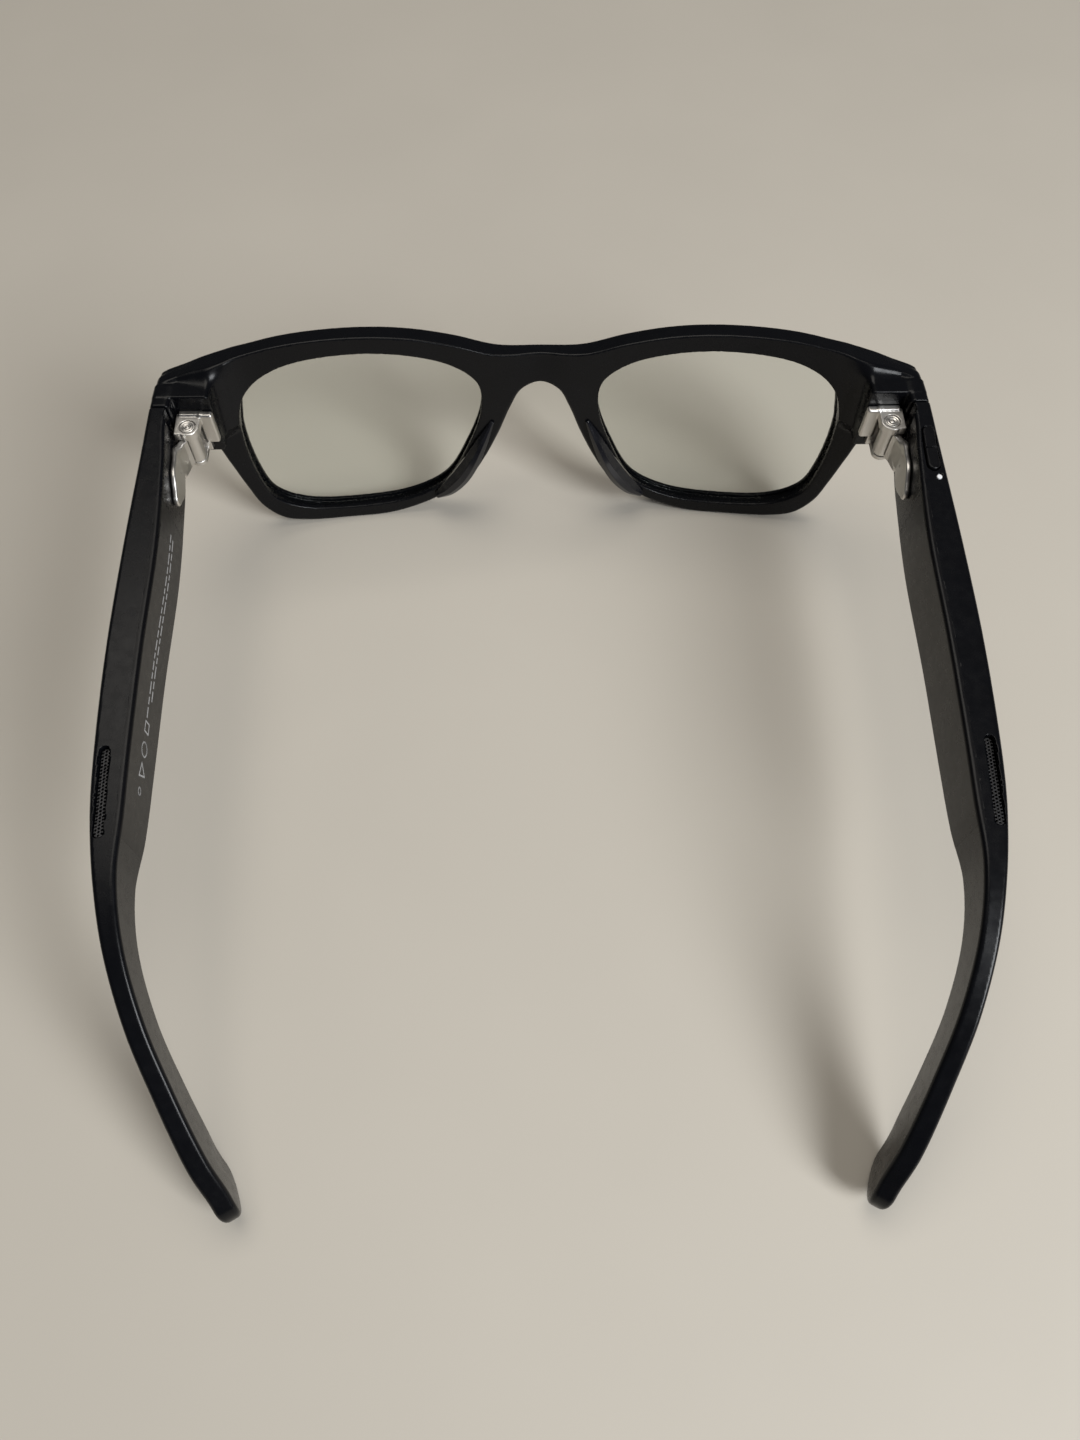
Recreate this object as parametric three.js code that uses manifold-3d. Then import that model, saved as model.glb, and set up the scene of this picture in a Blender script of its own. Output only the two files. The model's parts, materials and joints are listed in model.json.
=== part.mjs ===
// Smart glasses: a thick-rimmed spectacle front with two folding temples that carry the electronics.
// Millimetres, +Z up. The glasses stand on the rims and the temple tips, the lenses face -Y and the
// wearer's left side is +X. Everything is laid out with the temple seam at y = 0, and the whole
// assembly is moved at the end so that its origin is the centre of its footprint.
import * as THREE from 'three';
import { mergeVertices } from 'three/addons/utils/BufferGeometryUtils.js';
import Module from 'manifold-3d';

const wasm = await Module();
wasm.setup();

// ---------------------------------------------------------------- driving dimensions
const GAP = 0.3; // clearance between neighbouring pieces

// front plate, laid out flat as (u across, w up, n towards the wearer), then wrapped and tilted
const PLATE = 4.2;
const PLATE_EDGE = 0.8;
const PLATE_Y = -10.8; // mid-plane at the foot of the rims
const LONGEST_EDGE = 9; // of a facet before the plate is bent
const FOOT_TRIM = 0.35; // depth of the flat the rims stand on
const TILT = THREE.MathUtils.degToRad(8.1);
const WRAP_DEPTH = 9.0;
const WRAP_HALF_WIDTH = 72;
const WRAP_POWER = 2.85;

// lens and its groove
const LENS = 1.8;
const LENS_OVERLAP = 0.45; // how far the lens edge passes the rim's opening
const GROOVE_DEPTH = 0.8;

// hinge, one side (+X)
const HINGE = { x: 67.0, y: 1.4, barrel: 1.65, bore: 0.95, pin: 0.65 };
const EAR = { radius: 2.2, outboard: 2.4, corner: 1.9 }; // the upper ear, from the hinge axis
const HINGE_TOP = 39.0;
const HINGE_BOTTOM = 29.8;
const EAR_THICKNESS = 1.5; // the upper ear
const LOWER_EAR = 1.0;
const SEAM = 0.15; // half of the gap between endpiece and temple
const BRACKET_SEAT = -2.3; // y of the endpiece face that carries the bracket
const BRACKET_PLATE = 0.9;
const BRACKET_TOP = HINGE_TOP + 0.4;
const INBOARD_PLATE = { inner: 62.6, outer: 65.4, low: 32.2 };
const BARREL_PLATE = { inner: 65.3, outer: 68.9 };

// temple: [y, height of the spine, section height, x of the spine, section thickness]
const TEMPLE_STATIONS = [
  [SEAM, 35.6, 14.8, 71.55, 3.5],
  [5, 35.45, 14.7, 71.55, 3.7],
  [12, 35.2, 14.5, 71.25, 4.6],
  [30, 34.7, 14.1, 70.85, 6.1],
  [50, 34.1, 13.8, 70.8, 6.2],
  [68, 33.6, 13.4, 70.2, 5.9],
  [80, 33.4, 12.4, 69.5, 5.3],
  [90, 33.0, 10.3, 68.75, 3.7],
  [100, 30.6, 9.0, 66.95, 3.2],
  [110, 25.5, 8.9, 64.0, 3.2],
  [119, 18.5, 9.7, 60.4, 3.3],
  [127, 11.3, 10.8, 56.8, 3.5],
  [132, 5.8, 11.2, 54.0, 3.4],
];
const TEMPLE_CORNER = 1.4;
const TEMPLE_RINGS = 30;
const TIP_TURNS = [30, 55, 75]; // degrees round the end of the tip at which a ring closes it
const COVER = { from: 20, to: 84, thickness: 1.3 };
const CAVITY = { from: 21.5, to: 82.5, wall: 1.2, rim: 1.3 };

// controls
const BUTTON = { from: 5.6, to: 15.8, width: 2.2, depth: 2.4, proud: 0.35, a: 0.2 };
const SWITCH = { from: 7.0, width: 2.0, knob: 3.6, travel: 2.4, depth: 1.6, proud: 0.4 };
const SWITCH_END = SWITCH.from + SWITCH.knob + SWITCH.travel + 2 * GAP;
const VENT = { from: 68.6, to: 84.0, width: 1.7, a: 1.0, meshTop: 0.75, meshBottom: 1.35, depth: 2.4 };

// camera and capture light, one in each endpiece
const EYE = { u: 66.6, w: 35.2, window: 3.4, windowThickness: 0.9 };

// ---------------------------------------------------------------- materials
const plastic = (color, roughness) => new THREE.MeshStandardMaterial({ color, roughness, metalness: 0 });
const metal = (color, roughness) => new THREE.MeshStandardMaterial({ color, roughness, metalness: 1 });
const MATERIALS = {
  frame: plastic(0x0b0b0d, 0.28),
  cover: plastic(0x101012, 0.4),
  pad: plastic(0x0d0d10, 0.12),
  lens: new THREE.MeshStandardMaterial({ color: 0xe8eeee, roughness: 0.05, transparent: true, opacity: 0.3 }),
  steel: metal(0xc9c7c2, 0.3),
  window: plastic(0x060608, 0.05),
  optics: plastic(0x1a1d2a, 0.1),
  board: plastic(0x17402b, 0.5),
  cell: metal(0x9a9ca0, 0.45),
  flex: plastic(0xb3741f, 0.45),
  speaker: plastic(0x202024, 0.6),
  mesh: metal(0x1b1b1d, 0.6),
  gold: metal(0xd7a94a, 0.3),
  light: plastic(0xf2f4f6, 0.3),
};

// ---------------------------------------------------------------- geometry helpers
const v2 = (x, y) => new THREE.Vector2(x, y);
const v3 = (x, y, z) => new THREE.Vector3(x, y, z);

// A closed mesh from shared vertices, wound so that its faces point out.
function closedMesh(points, triangles) {
  let volume = 0;
  for (let i = 0; i < triangles.length; i += 3) {
    const [a, b, c] = [points[triangles[i]], points[triangles[i + 1]], points[triangles[i + 2]]];
    volume += a.dot(b.clone().cross(c));
  }
  const index = volume < 0 ? [...triangles].reverse() : triangles;
  const geometry = new THREE.BufferGeometry();
  geometry.setFromPoints(points);
  geometry.setIndex(index);
  return geometry;
}

// A solid through rings of equal length; both end rings are convex and are closed by a fan.
function loft(rings) {
  const count = rings[0].length;
  const triangles = [];
  for (let r = 0; r + 1 < rings.length; r += 1) {
    for (let i = 0; i < count; i += 1) {
      const next = (i + 1) % count;
      const [a, b] = [r * count + i, r * count + next];
      triangles.push(a, b, a + count, b, b + count, a + count);
    }
  }
  const last = (rings.length - 1) * count;
  for (let i = 1; i + 1 < count; i += 1) {
    triangles.push(0, i + 1, i);
    triangles.push(last, last + i, last + i + 1);
  }
  return closedMesh(rings.flat(), triangles);
}

// Position only, with shared vertices merged and an index.
function welded(geometry) {
  const bare = geometry.clone();
  bare.deleteAttribute('normal');
  bare.deleteAttribute('uv');
  return mergeVertices(bare, 1e-4);
}

function toSolid(geometry) {
  const merged = welded(geometry);
  const vertProperties = new Float32Array(merged.attributes.position.array);
  return new wasm.Manifold(new wasm.Mesh({
    numProp: 3,
    vertProperties,
    triVerts: new Uint32Array(merged.index.array),
  }));
}

function toGeometry(solid) {
  const mesh = solid.getMesh();
  const geometry = new THREE.BufferGeometry();
  geometry.setAttribute('position', new THREE.BufferAttribute(mesh.vertProperties, mesh.numProp));
  geometry.setIndex(new THREE.BufferAttribute(mesh.triVerts, 1));
  return geometry;
}

// Joins the bodies, then cuts the tools out of them.
function carve(bodies, tools) {
  let solid = bodies.map(toSolid).reduce((sum, next) => sum.add(next));
  for (const tool of tools) solid = solid.subtract(toSolid(tool));
  return toGeometry(solid);
}

function common(a, b) {
  return toGeometry(toSolid(a).intersect(toSolid(b)));
}

// The same geometry on the wearer's right side.
function mirrored(geometry) {
  const copy = welded(geometry);
  copy.scale(-1, 1, 1);
  copy.setIndex([...copy.index.array].reverse());
  return copy;
}

function box(x0, x1, y0, y1, z0, z1) {
  const geometry = new THREE.BoxGeometry(x1 - x0, y1 - y0, z1 - z0);
  return geometry.translate((x0 + x1) / 2, (y0 + y1) / 2, (z0 + z1) / 2);
}

// An upright cylinder between two heights.
function post(x, y, z0, z1, radius, sides = 20) {
  const geometry = new THREE.CylinderGeometry(radius, radius, z1 - z0, sides);
  return geometry.rotateX(Math.PI / 2).translate(x, y, (z0 + z1) / 2);
}

function prism(outline, z0, z1) {
  const options = { depth: z1 - z0, bevelEnabled: false };
  return new THREE.ExtrudeGeometry(new THREE.Shape(outline), options).translate(0, 0, z0);
}

function smoothLoop(points, count) {
  const curve = new THREE.CatmullRomCurve3(points.map(([x, y]) => v3(x, y, 0)), true, 'centripetal');
  return curve.getSpacedPoints(count).slice(0, count).map((p) => v2(p.x, p.y));
}

function smoothRun(points, count) {
  const curve = new THREE.CatmullRomCurve3(points.map(([x, y]) => v3(x, y, 0)), false, 'centripetal');
  return curve.getSpacedPoints(count).map((p) => v2(p.x, p.y));
}

// Moves each point of a smooth anticlockwise outline along its outward normal.
function grown(outline, distance) {
  const count = outline.length;
  return outline.map((point, i) => {
    const along = outline[(i + 1) % count].clone().sub(outline[(i + count - 1) % count]).normalize();
    return v2(point.x + along.y * distance, point.y - along.x * distance);
  });
}

// ---------------------------------------------------------------- the front's curved surface
const wrap = (u) => WRAP_DEPTH * (Math.abs(u) / WRAP_HALF_WIDTH) ** WRAP_POWER;

// From the flat plate (u, w, n) to the standing front.
function onFront(u, w, n) {
  const back = wrap(u) + n;
  const y = PLATE_Y - w * Math.sin(TILT) + back * Math.cos(TILT);
  return v3(u, y, w * Math.cos(TILT) + back * Math.sin(TILT));
}

// Splits every edge longer than a limit at its middle, so that a flat face can follow a curve.
function refined(geometry, limit) {
  const mesh = welded(geometry);
  const points = [];
  for (let i = 0; i < mesh.attributes.position.count; i += 1) {
    points.push(v3(0, 0, 0).fromBufferAttribute(mesh.attributes.position, i));
  }
  let triangles = [...mesh.index.array];
  for (let pass = 0; pass < 3; pass += 1) triangles = splitLongEdges(points, triangles, limit);
  return closedMesh(points, triangles);
}

function splitLongEdges(points, triangles, limit) {
  const middles = new Map();
  const middleOf = (a, b) => {
    if (points[a].distanceTo(points[b]) <= limit) return -1;
    const key = a < b ? `${a}_${b}` : `${b}_${a}`;
    if (!middles.has(key)) middles.set(key, points.push(points[a].clone().lerp(points[b], 0.5)) - 1);
    return middles.get(key);
  };
  const result = [];
  for (let i = 0; i < triangles.length; i += 3) {
    const corners = triangles.slice(i, i + 3);
    // Walk round the triangle, with each middle after its corner, then cut the polygon into triangles.
    const loop = corners.map((corner, k) => [corner, middleOf(corner, corners[(k + 1) % 3])]);
    const cuts = loop.filter(([, middle]) => middle >= 0).length;
    if (cuts === 0) {
      result.push(...corners);
      continue;
    }
    while (loop[0][1] < 0 || (cuts === 2 && loop[2][1] >= 0)) loop.push(loop.shift());
    const [[a, ab], [b, bc], [c, ca]] = loop;
    if (cuts === 1) result.push(a, ab, c, ab, b, c);
    if (cuts === 2) result.push(ab, b, bc, a, ab, bc, a, bc, c);
    if (cuts === 3) result.push(a, ab, ca, ab, b, bc, ca, bc, c, ab, bc, ca);
  }
  return result;
}

// Bends a geometry made in (u, w, n). The mapping swaps hands, so the winding is turned round.
function bent(geometry) {
  const copy = welded(geometry);
  const position = copy.attributes.position;
  for (let i = 0; i < position.count; i += 1) {
    const p = onFront(position.getX(i), position.getY(i), position.getZ(i));
    position.setXYZ(i, p.x, p.y, p.z);
  }
  copy.setIndex([...copy.index.array].reverse());
  return copy;
}

// ---------------------------------------------------------------- outlines of the front (u, w)
const OPENING = smoothLoop([
  [60.0, 28.5], [58.0, 35.8], [51.5, 40.3], [40, 42.1], [27, 41.3], [17.5, 38.5], [12.6, 34.2], [12.2, 27.5],
  [15.5, 17.7], [20.5, 9.0], [28, 4.7], [38, 3.2], [50.5, 4.4], [56.8, 8.5], [59.2, 15.5],
], 44);

const TOP_EDGE = [
  [0, 41.0], [8.5, 41.15], [17, 43.5], [26, 45.3], [36, 46.1], [50, 45.75], [62, 43.9], [71, 42.3],
];
const END_CORNERS = [[72.2, 41.8], [72.7, 40.9], [72.1, 29], [71.4, 27.9], [70.2, 27.4]];
const LOWER_EDGE = [
  [68.2, 27.0], [65.8, 24.8], [64.2, 19.8], [62.1, 12.5], [60, 6.6], [56.3, 2.2], [51, 0.4], [42, -0.2],
  [33, 0.1], [25, 2.7], [19, 6.3], [14.8, 9.8], [11.5, 15.2], [8.4, 21.9], [5.9, 28.3], [3.6, 32.6],
  [0, 34.3],
];

const flipped = (points) => points.map(([u, w]) => [-u, w]);
const fromLeft = (half) => [...flipped(half).reverse(), ...half.slice(1)];

// The outline runs along the top from the right side to the left, and back along the rims.
function frontOutline() {
  const top = smoothRun(fromLeft(TOP_EDGE), 36);
  const leftEnd = END_CORNERS.map(([u, w]) => v2(u, w));
  const rims = smoothRun([...LOWER_EDGE, ...flipped(LOWER_EDGE).reverse().slice(1)], 84);
  const rightEnd = flipped([...END_CORNERS].reverse()).map(([u, w]) => v2(u, w));
  return [...top, ...leftEnd, ...rims, ...rightEnd];
}

// ---------------------------------------------------------------- temple surface
const stationPoint = ([y, z, , x]) => v3(x, y, z);
const SPINE = new THREE.CatmullRomCurve3(TEMPLE_STATIONS.map(stationPoint), false, 'catmullrom', 0.5);
const SECTIONS = new THREE.CatmullRomCurve3(
  TEMPLE_STATIONS.map(([, , height, , thickness]) => v3(height, thickness, 0)), false, 'catmullrom', 0.5,
);

// The spine parameter at a distance y behind the seam, by bisection.
function spineAt(y) {
  let [low, high] = [0, 1];
  for (let i = 0; i < 30; i += 1) {
    const middle = (low + high) / 2;
    if (SPINE.getPoint(middle).y < y) low = middle;
    else high = middle;
  }
  return (low + high) / 2;
}

// Section axes at t: a points away from the head, b points up along the section.
function templeFrame(t) {
  const along = t < 1e-6 ? v3(0, 1, 0) : SPINE.getTangent(t);
  const a = along.clone().cross(v3(0, 0, 1)).normalize();
  const b = a.clone().cross(along).normalize();
  const section = SECTIONS.getPoint(t);
  return { centre: SPINE.getPoint(t), a, b, along, height: section.x, thickness: section.y };
}

function templePoint(frame, a, b) {
  return frame.centre.clone().addScaledVector(frame.a, a).addScaledVector(frame.b, b);
}

// Rings of a bar inside the temple; limits(frame) gives [a0, a1, b0, b1], corner is its rounding.
function templeBar(from, to, steps, limits, corner = 0) {
  const [t0, t1] = [spineAt(from), spineAt(to)];
  const rings = [];
  for (let i = 0; i <= steps; i += 1) {
    const frame = templeFrame(t0 + (t1 - t0) * (i / steps));
    const [a0, a1, b0, b1] = limits(frame);
    rings.push(roundedRectangle(a0, a1, b0, b1, corner).map((p) => templePoint(frame, p.x, p.y)));
  }
  return loft(rings);
}

function roundedRectangle(a0, a1, b0, b1, corner) {
  if (corner === 0) return [v2(a0, b0), v2(a1, b0), v2(a1, b1), v2(a0, b1)];
  const r = Math.min(corner, (a1 - a0) / 2.2, (b1 - b0) / 2.2);
  const centres = [[a1 - r, b0 + r, -90], [a1 - r, b1 - r, 0], [a0 + r, b1 - r, 90], [a0 + r, b0 + r, 180]];
  return centres.flatMap(([a, b, start]) => [0, 45, 90].map((turn) => {
    const angle = THREE.MathUtils.degToRad(start + turn);
    return v2(a + r * Math.cos(angle), b + r * Math.sin(angle));
  }));
}

// The temple's outer form, closed by shrinking rings round the end of the tip.
function templeForm() {
  const rings = [];
  const ring = (frame, scale, push) => {
    const [a, b] = [(frame.thickness / 2) * scale, (frame.height / 2) * scale];
    const shifted = { ...frame, centre: frame.centre.clone().addScaledVector(frame.along, push) };
    return roundedRectangle(-a, a, -b, b, TEMPLE_CORNER * scale).map((p) => templePoint(shifted, p.x, p.y));
  };
  for (let i = 0; i <= TEMPLE_RINGS; i += 1) rings.push(ring(templeFrame(i / TEMPLE_RINGS), 1, 0));
  const end = templeFrame(1);
  const radius = end.height / 2;
  for (const turn of TIP_TURNS) {
    const angle = THREE.MathUtils.degToRad(turn);
    rings.push(ring(end, Math.cos(angle), radius * Math.sin(angle)));
  }
  return loft(rings);
}

// A pill outline along the temple, centred across on offset a, and its frame at a face of the temple.
function pillTool(from, to, width, a, b0, b1) {
  const middle = templeFrame(spineAt((from + to) / 2));
  const half = (to - from) / 2;
  const r = width / 2;
  const outline = [];
  for (const [centre, start] of [[half - r, -90], [r - half, 90]]) {
    for (let turn = 0; turn <= 180; turn += 30) {
      const angle = THREE.MathUtils.degToRad(start + turn);
      outline.push(v2(centre + r * Math.cos(angle), r * Math.sin(angle)));
    }
  }
  const basis = new THREE.Matrix4().makeBasis(middle.along, middle.a.clone().negate(), middle.b);
  basis.setPosition(templePoint(middle, a, 0));
  return prism(outline, b0, b1).applyMatrix4(basis);
}

// ---------------------------------------------------------------- assembly
const glasses = new THREE.Group();
glasses.name = 'smart_glasses';

function addPiece(name, geometry, material) {
  const mesh = new THREE.Mesh(geometry, MATERIALS[material]);
  mesh.name = name;
  glasses.add(mesh);
  return mesh;
}

// Adds a piece built for the +X side to the side asked for.
function addSide(side, name, geometry, material) {
  return addPiece(`${side}_${name}`, side === 'left' ? geometry : mirrored(geometry), material);
}

const SIDES = ['left', 'right'];

// ---------------------------------------------------------------- front
function frontPlate() {
  const shape = new THREE.Shape(frontOutline());
  shape.holes.push(new THREE.Path(OPENING));
  shape.holes.push(new THREE.Path(OPENING.map((p) => v2(-p.x, p.y)).reverse()));
  const body = new THREE.ExtrudeGeometry(shape, {
    depth: PLATE - 2 * PLATE_EDGE,
    bevelEnabled: true,
    bevelThickness: PLATE_EDGE,
    bevelSize: PLATE_EDGE,
    bevelOffset: -PLATE_EDGE,
    bevelSegments: 2,
  }).translate(0, 0, -PLATE / 2 + PLATE_EDGE);
  const grooveHalf = LENS / 2 + GAP;
  const groove = prism(grown(OPENING, GROOVE_DEPTH), -grooveHalf, grooveHalf);
  return bent(refined(carve([body], [groove, mirrored(groove)]), LONGEST_EDGE));
}

// Sections of the endpiece: [inboard, outboard, low, high], the first one on the flat plate.
const END_CORNER = 0.9;
const END_ROOT = [63.0, 72.2, 28.4, 41.9];
const END_SEAT = [62.6, 73.1, 28.2, 42.95];
const NOSE_ROOT = [69.4, 73.0, 28.3, 42.85];
const NOSE_END = [69.8, 73.3, 28.2, 43.0];
const NOSE_ROOT_Y = -5;

// The endpiece runs back from the plate to the bracket's seat and, outside it, to the temple seam.
function endpieceBlocks() {
  const section = (limits) => roundedRectangle(...limits, END_CORNER);
  const level = (y, limits) => section(limits).map((p) => v3(p.x, y, p.y));
  const root = section(END_ROOT).map((p) => onFront(p.x, p.y, 0));
  const seat = loft([root, level(BRACKET_SEAT, END_SEAT)]);
  const nose = loft([level(NOSE_ROOT_Y, NOSE_ROOT), level(-SEAM, NOSE_END)]);
  return [seat, nose];
}

// The cable's tunnel through the front
const TUNNEL_RADIUS = 0.85;
const TUNNEL_OVERRUN = 1; // past the seam, so that the tunnel opens there
const FLEX = { halfWidth: 0.45, halfThickness: 0.2, inset: 0.2 };
const FLEX_STEPS = 36;

// Route of the flex cable: along the brow and back through each endpiece to the seam.
function flexCurve(overrun) {
  const brow = [[66.0, 41.2], [60, 42.9], [50, 43.9], [38, 44.35], [26, 43.4], [17, 41.2], [8, 38.8]];
  const half = brow.map(([u, w]) => onFront(u, w, 0));
  half.unshift(v3(71.5, -SEAM + overrun, 39.5), v3(71.2, -3.5, 39.8), v3(69.4, -7.0, 40.6));
  const other = half.map((p) => v3(-p.x, p.y, p.z)).reverse();
  const centre = onFront(0, 38.2, 0);
  return new THREE.CatmullRomCurve3([...half, centre, ...other], false, 'centripetal');
}

function alongCurve(outline, curve, steps) {
  const options = { steps, bevelEnabled: false, extrudePath: curve };
  return new THREE.ExtrudeGeometry(new THREE.Shape(outline), options);
}

function circleOutline(radius, sides) {
  return Array.from({ length: sides }, (_, i) => {
    const angle = (2 * Math.PI * i) / sides;
    return v2(radius * Math.cos(angle), radius * Math.sin(angle));
  });
}

// Local frame on the front face of an endpiece: +Z out of the face, +Y up along it.
function eyeMatrix() {
  const origin = onFront(EYE.u, EYE.w, -PLATE / 2);
  const across = onFront(EYE.u + 1, EYE.w, -PLATE / 2).sub(onFront(EYE.u - 1, EYE.w, -PLATE / 2)).normalize();
  const up = onFront(EYE.u, EYE.w + 1, -PLATE / 2).sub(origin).normalize();
  const matrix = new THREE.Matrix4().makeBasis(across, up, across.clone().cross(up));
  return matrix.setPosition(origin);
}

const EYE_MATRIX = eyeMatrix();
const atEye = (geometry) => geometry.applyMatrix4(EYE_MATRIX);
const eyeDisc = (radius, z0, z1, sides = 28) => atEye(post(0, 0, z0, z1, radius, sides));
const eyeBox = (half, z0, z1) => atEye(box(-half, half, -half, half, z0, z1));

// Pocket floor depths under the window, and the module behind it.
const WINDOW_FLOOR = -(EYE.windowThickness + 0.05 + GAP);
const CAMERA = { half: 1.75, front: -2.9, back: -4.6, barrel: 1.4 };
const LIGHT_BOARD = { half: 1.9, front: -1.7, back: -2.6 };

function bridgePocket(u, radius, depth) {
  const mouth = onFront(u, 34.0, 0);
  return post(u, mouth.y, mouth.z - 3, mouth.z + depth, radius, 16);
}

const CONTACT = { u: 2.0, radius: 0.7, up: 1.2, low: 0.35 };
const MICROPHONE = { radius: 0.75, up: 1.9, low: 0.9 };

function frontFrame() {
  const cameraPocket = [
    eyeDisc(EYE.window + GAP, WINDOW_FLOOR, 2),
    eyeBox(CAMERA.half + GAP, CAMERA.back - GAP, WINDOW_FLOOR + 0.1),
  ];
  const lightPocket = [
    eyeDisc(EYE.window + GAP, WINDOW_FLOOR, 2),
    eyeBox(LIGHT_BOARD.half + GAP, LIGHT_BOARD.back - GAP, WINDOW_FLOOR + 0.1),
  ].map(mirrored);
  const pockets = [-CONTACT.u, CONTACT.u].map((u) => bridgePocket(u, CONTACT.radius + GAP, CONTACT.up + GAP));
  pockets.push(bridgePocket(0, MICROPHONE.radius + GAP, MICROPHONE.up + GAP));
  const tunnel = alongCurve(circleOutline(TUNNEL_RADIUS, 6), flexCurve(TUNNEL_OVERRUN), FLEX_STEPS);
  const ground = box(-90, 90, -40, 20, -5, FOOT_TRIM);
  const blocks = endpieceBlocks();
  const bodies = [frontPlate(), ...blocks, ...blocks.map(mirrored)];
  return carve(bodies, [...cameraPocket, ...lightPocket, ...pockets, tunnel, ground]);
}

// Concentric rings, so that the lens follows the front's curve across its whole width.
function lens() {
  const rim = grown(OPENING, LENS_OVERLAP);
  const hub = v2(36, 23);
  const scales = [1, 0.66, 0.33];
  const points = [];
  for (const n of [-LENS / 2, LENS / 2]) {
    for (const scale of scales) {
      for (const p of rim) {
        const q = p.clone().sub(hub).multiplyScalar(scale).add(hub);
        points.push(onFront(q.x, q.y, n));
      }
    }
    points.push(onFront(hub.x, hub.y, n));
  }
  const count = rim.length;
  const face = scales.length * count + 1;
  const triangles = [];
  const quad = (a, b, c, d) => triangles.push(a, b, c, a, c, d);
  for (let i = 0; i < count; i += 1) {
    const next = (i + 1) % count;
    for (let r = 0; r + 1 < scales.length; r += 1) {
      const [o, p] = [r * count, (r + 1) * count];
      quad(o + i, o + next, p + next, p + i);
      quad(face + o + next, face + o + i, face + p + i, face + p + next);
    }
    const inner = (scales.length - 1) * count;
    triangles.push(inner + i, inner + next, face - 1);
    triangles.push(face + inner + next, face + inner + i, 2 * face - 1);
    quad(next, i, face + i, face + next);
  }
  return closedMesh(points, triangles);
}

// Nose pad: [u, w, width, depth] down its length, and its section in shares of width and depth.
const PAD_STATIONS = [
  [9.7, 25.0, 1.0, 0.5], [11.6, 20.6, 2.6, 2.2], [13.9, 15.6, 3.8, 3.3], [16.4, 11.4, 4.2, 3.5],
  [19.4, 7.8, 3.6, 2.8], [22.4, 5.2, 1.6, 1.2],
];
const PAD_SECTION = [[-0.32, 0], [0.5, 0], [0.55, 0.3], [0.3, 0.85], [0.05, 1], [-0.25, 0.75]];

// A leaf-shaped pad bonded behind the nose edge of the rim, thickest in the middle of its length.
function nosePad() {
  const foot = PLATE / 2 + GAP;
  const rings = PAD_STATIONS.map(([u, w, width, depth], i) => {
    const before = PAD_STATIONS[Math.max(i - 1, 0)];
    const after = PAD_STATIONS[Math.min(i + 1, PAD_STATIONS.length - 1)];
    const along = v2(after[0] - before[0], after[1] - before[1]).normalize();
    const side = v2(-along.y, along.x); // towards the lens
    return PAD_SECTION.map(([across, back]) => {
      const offset = side.clone().multiplyScalar(across * width);
      return onFront(u + offset.x, w + offset.y, foot + back * depth);
    });
  });
  return loft(rings);
}

addPiece('front_frame', frontFrame(), 'frame');
for (const side of SIDES) {
  addSide(side, 'lens', lens(), 'lens');
  addSide(side, 'nose_pad', nosePad(), 'pad');
}
addPiece('camera_window', eyeDisc(EYE.window, -0.05 - EYE.windowThickness, -0.05), 'window');
addPiece('camera_lens_barrel', eyeDisc(CAMERA.barrel, CAMERA.front + GAP, WINDOW_FLOOR - 0.1, 20), 'optics');
addPiece('camera_module', eyeBox(CAMERA.half, CAMERA.back, CAMERA.front), 'speaker');
addPiece('capture_light_window', mirrored(eyeDisc(EYE.window, -0.05 - EYE.windowThickness, -0.05)), 'window');
const lightBoard = eyeBox(LIGHT_BOARD.half, LIGHT_BOARD.back, LIGHT_BOARD.front);
addPiece('capture_light_board', mirrored(lightBoard), 'board');

const { halfWidth, halfThickness, inset } = FLEX;
const flexSection = roundedRectangle(-halfWidth, halfWidth, -halfThickness, halfThickness, 0);
addPiece('front_flex_cable', alongCurve(flexSection, flexCurve(-inset), FLEX_STEPS), 'flex');

const bridgeUnderside = onFront(0, 34.0, 0);
const contact = (u) => post(
  u, bridgeUnderside.y, bridgeUnderside.z + CONTACT.low, bridgeUnderside.z + CONTACT.up, CONTACT.radius, 16,
);
addPiece('left_charging_contact', contact(CONTACT.u), 'gold');
addPiece('right_charging_contact', contact(-CONTACT.u), 'gold');
addPiece('bridge_microphone', post(
  0, bridgeUnderside.y, bridgeUnderside.z + MICROPHONE.low, bridgeUnderside.z + MICROPHONE.up,
  MICROPHONE.radius, 16,
), 'cell');

// ---------------------------------------------------------------- hinges
const pinBore = () => post(HINGE.x, HINGE.y, 0, 60, HINGE.bore);

// The frame's half: a stepped plate on the endpiece, with an ear above and an ear below the barrel.
function hingeBracket() {
  const plateFront = BRACKET_SEAT + GAP;
  const plateBack = plateFront + BRACKET_PLATE;
  const earRoot = plateBack - 0.4; // inside the plate, so that the ears join it
  const bodies = [
    box(INBOARD_PLATE.inner, INBOARD_PLATE.outer, plateFront, plateBack, INBOARD_PLATE.low, BRACKET_TOP),
    box(BARREL_PLATE.inner, BARREL_PLATE.outer, plateFront, plateBack, HINGE_BOTTOM, BRACKET_TOP),
    prism(earOutline(EAR.radius, true, earRoot), HINGE_TOP - EAR_THICKNESS, HINGE_TOP),
    prism(earOutline(HINGE.barrel, false, earRoot), HINGE_BOTTOM, HINGE_BOTTOM + LOWER_EAR),
  ];
  return carve(bodies, [pinBore()]);
}

// An ear seen from above: straight back from the plate and round about the axis. The squared one
// reaches out to a corner on the temple side.
function earOutline(radius, squared, root) {
  const reach = squared ? EAR.outboard : radius;
  const outline = [v2(HINGE.x - radius, root), v2(HINGE.x + reach, root)];
  if (squared) outline.push(v2(HINGE.x + reach, HINGE.y + EAR.corner));
  for (let turn = squared ? 60 : 0; turn <= 180; turn += 30) {
    const angle = THREE.MathUtils.degToRad(turn);
    outline.push(v2(HINGE.x + radius * Math.cos(angle), HINGE.y + radius * Math.sin(angle)));
  }
  return outline;
}

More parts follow.
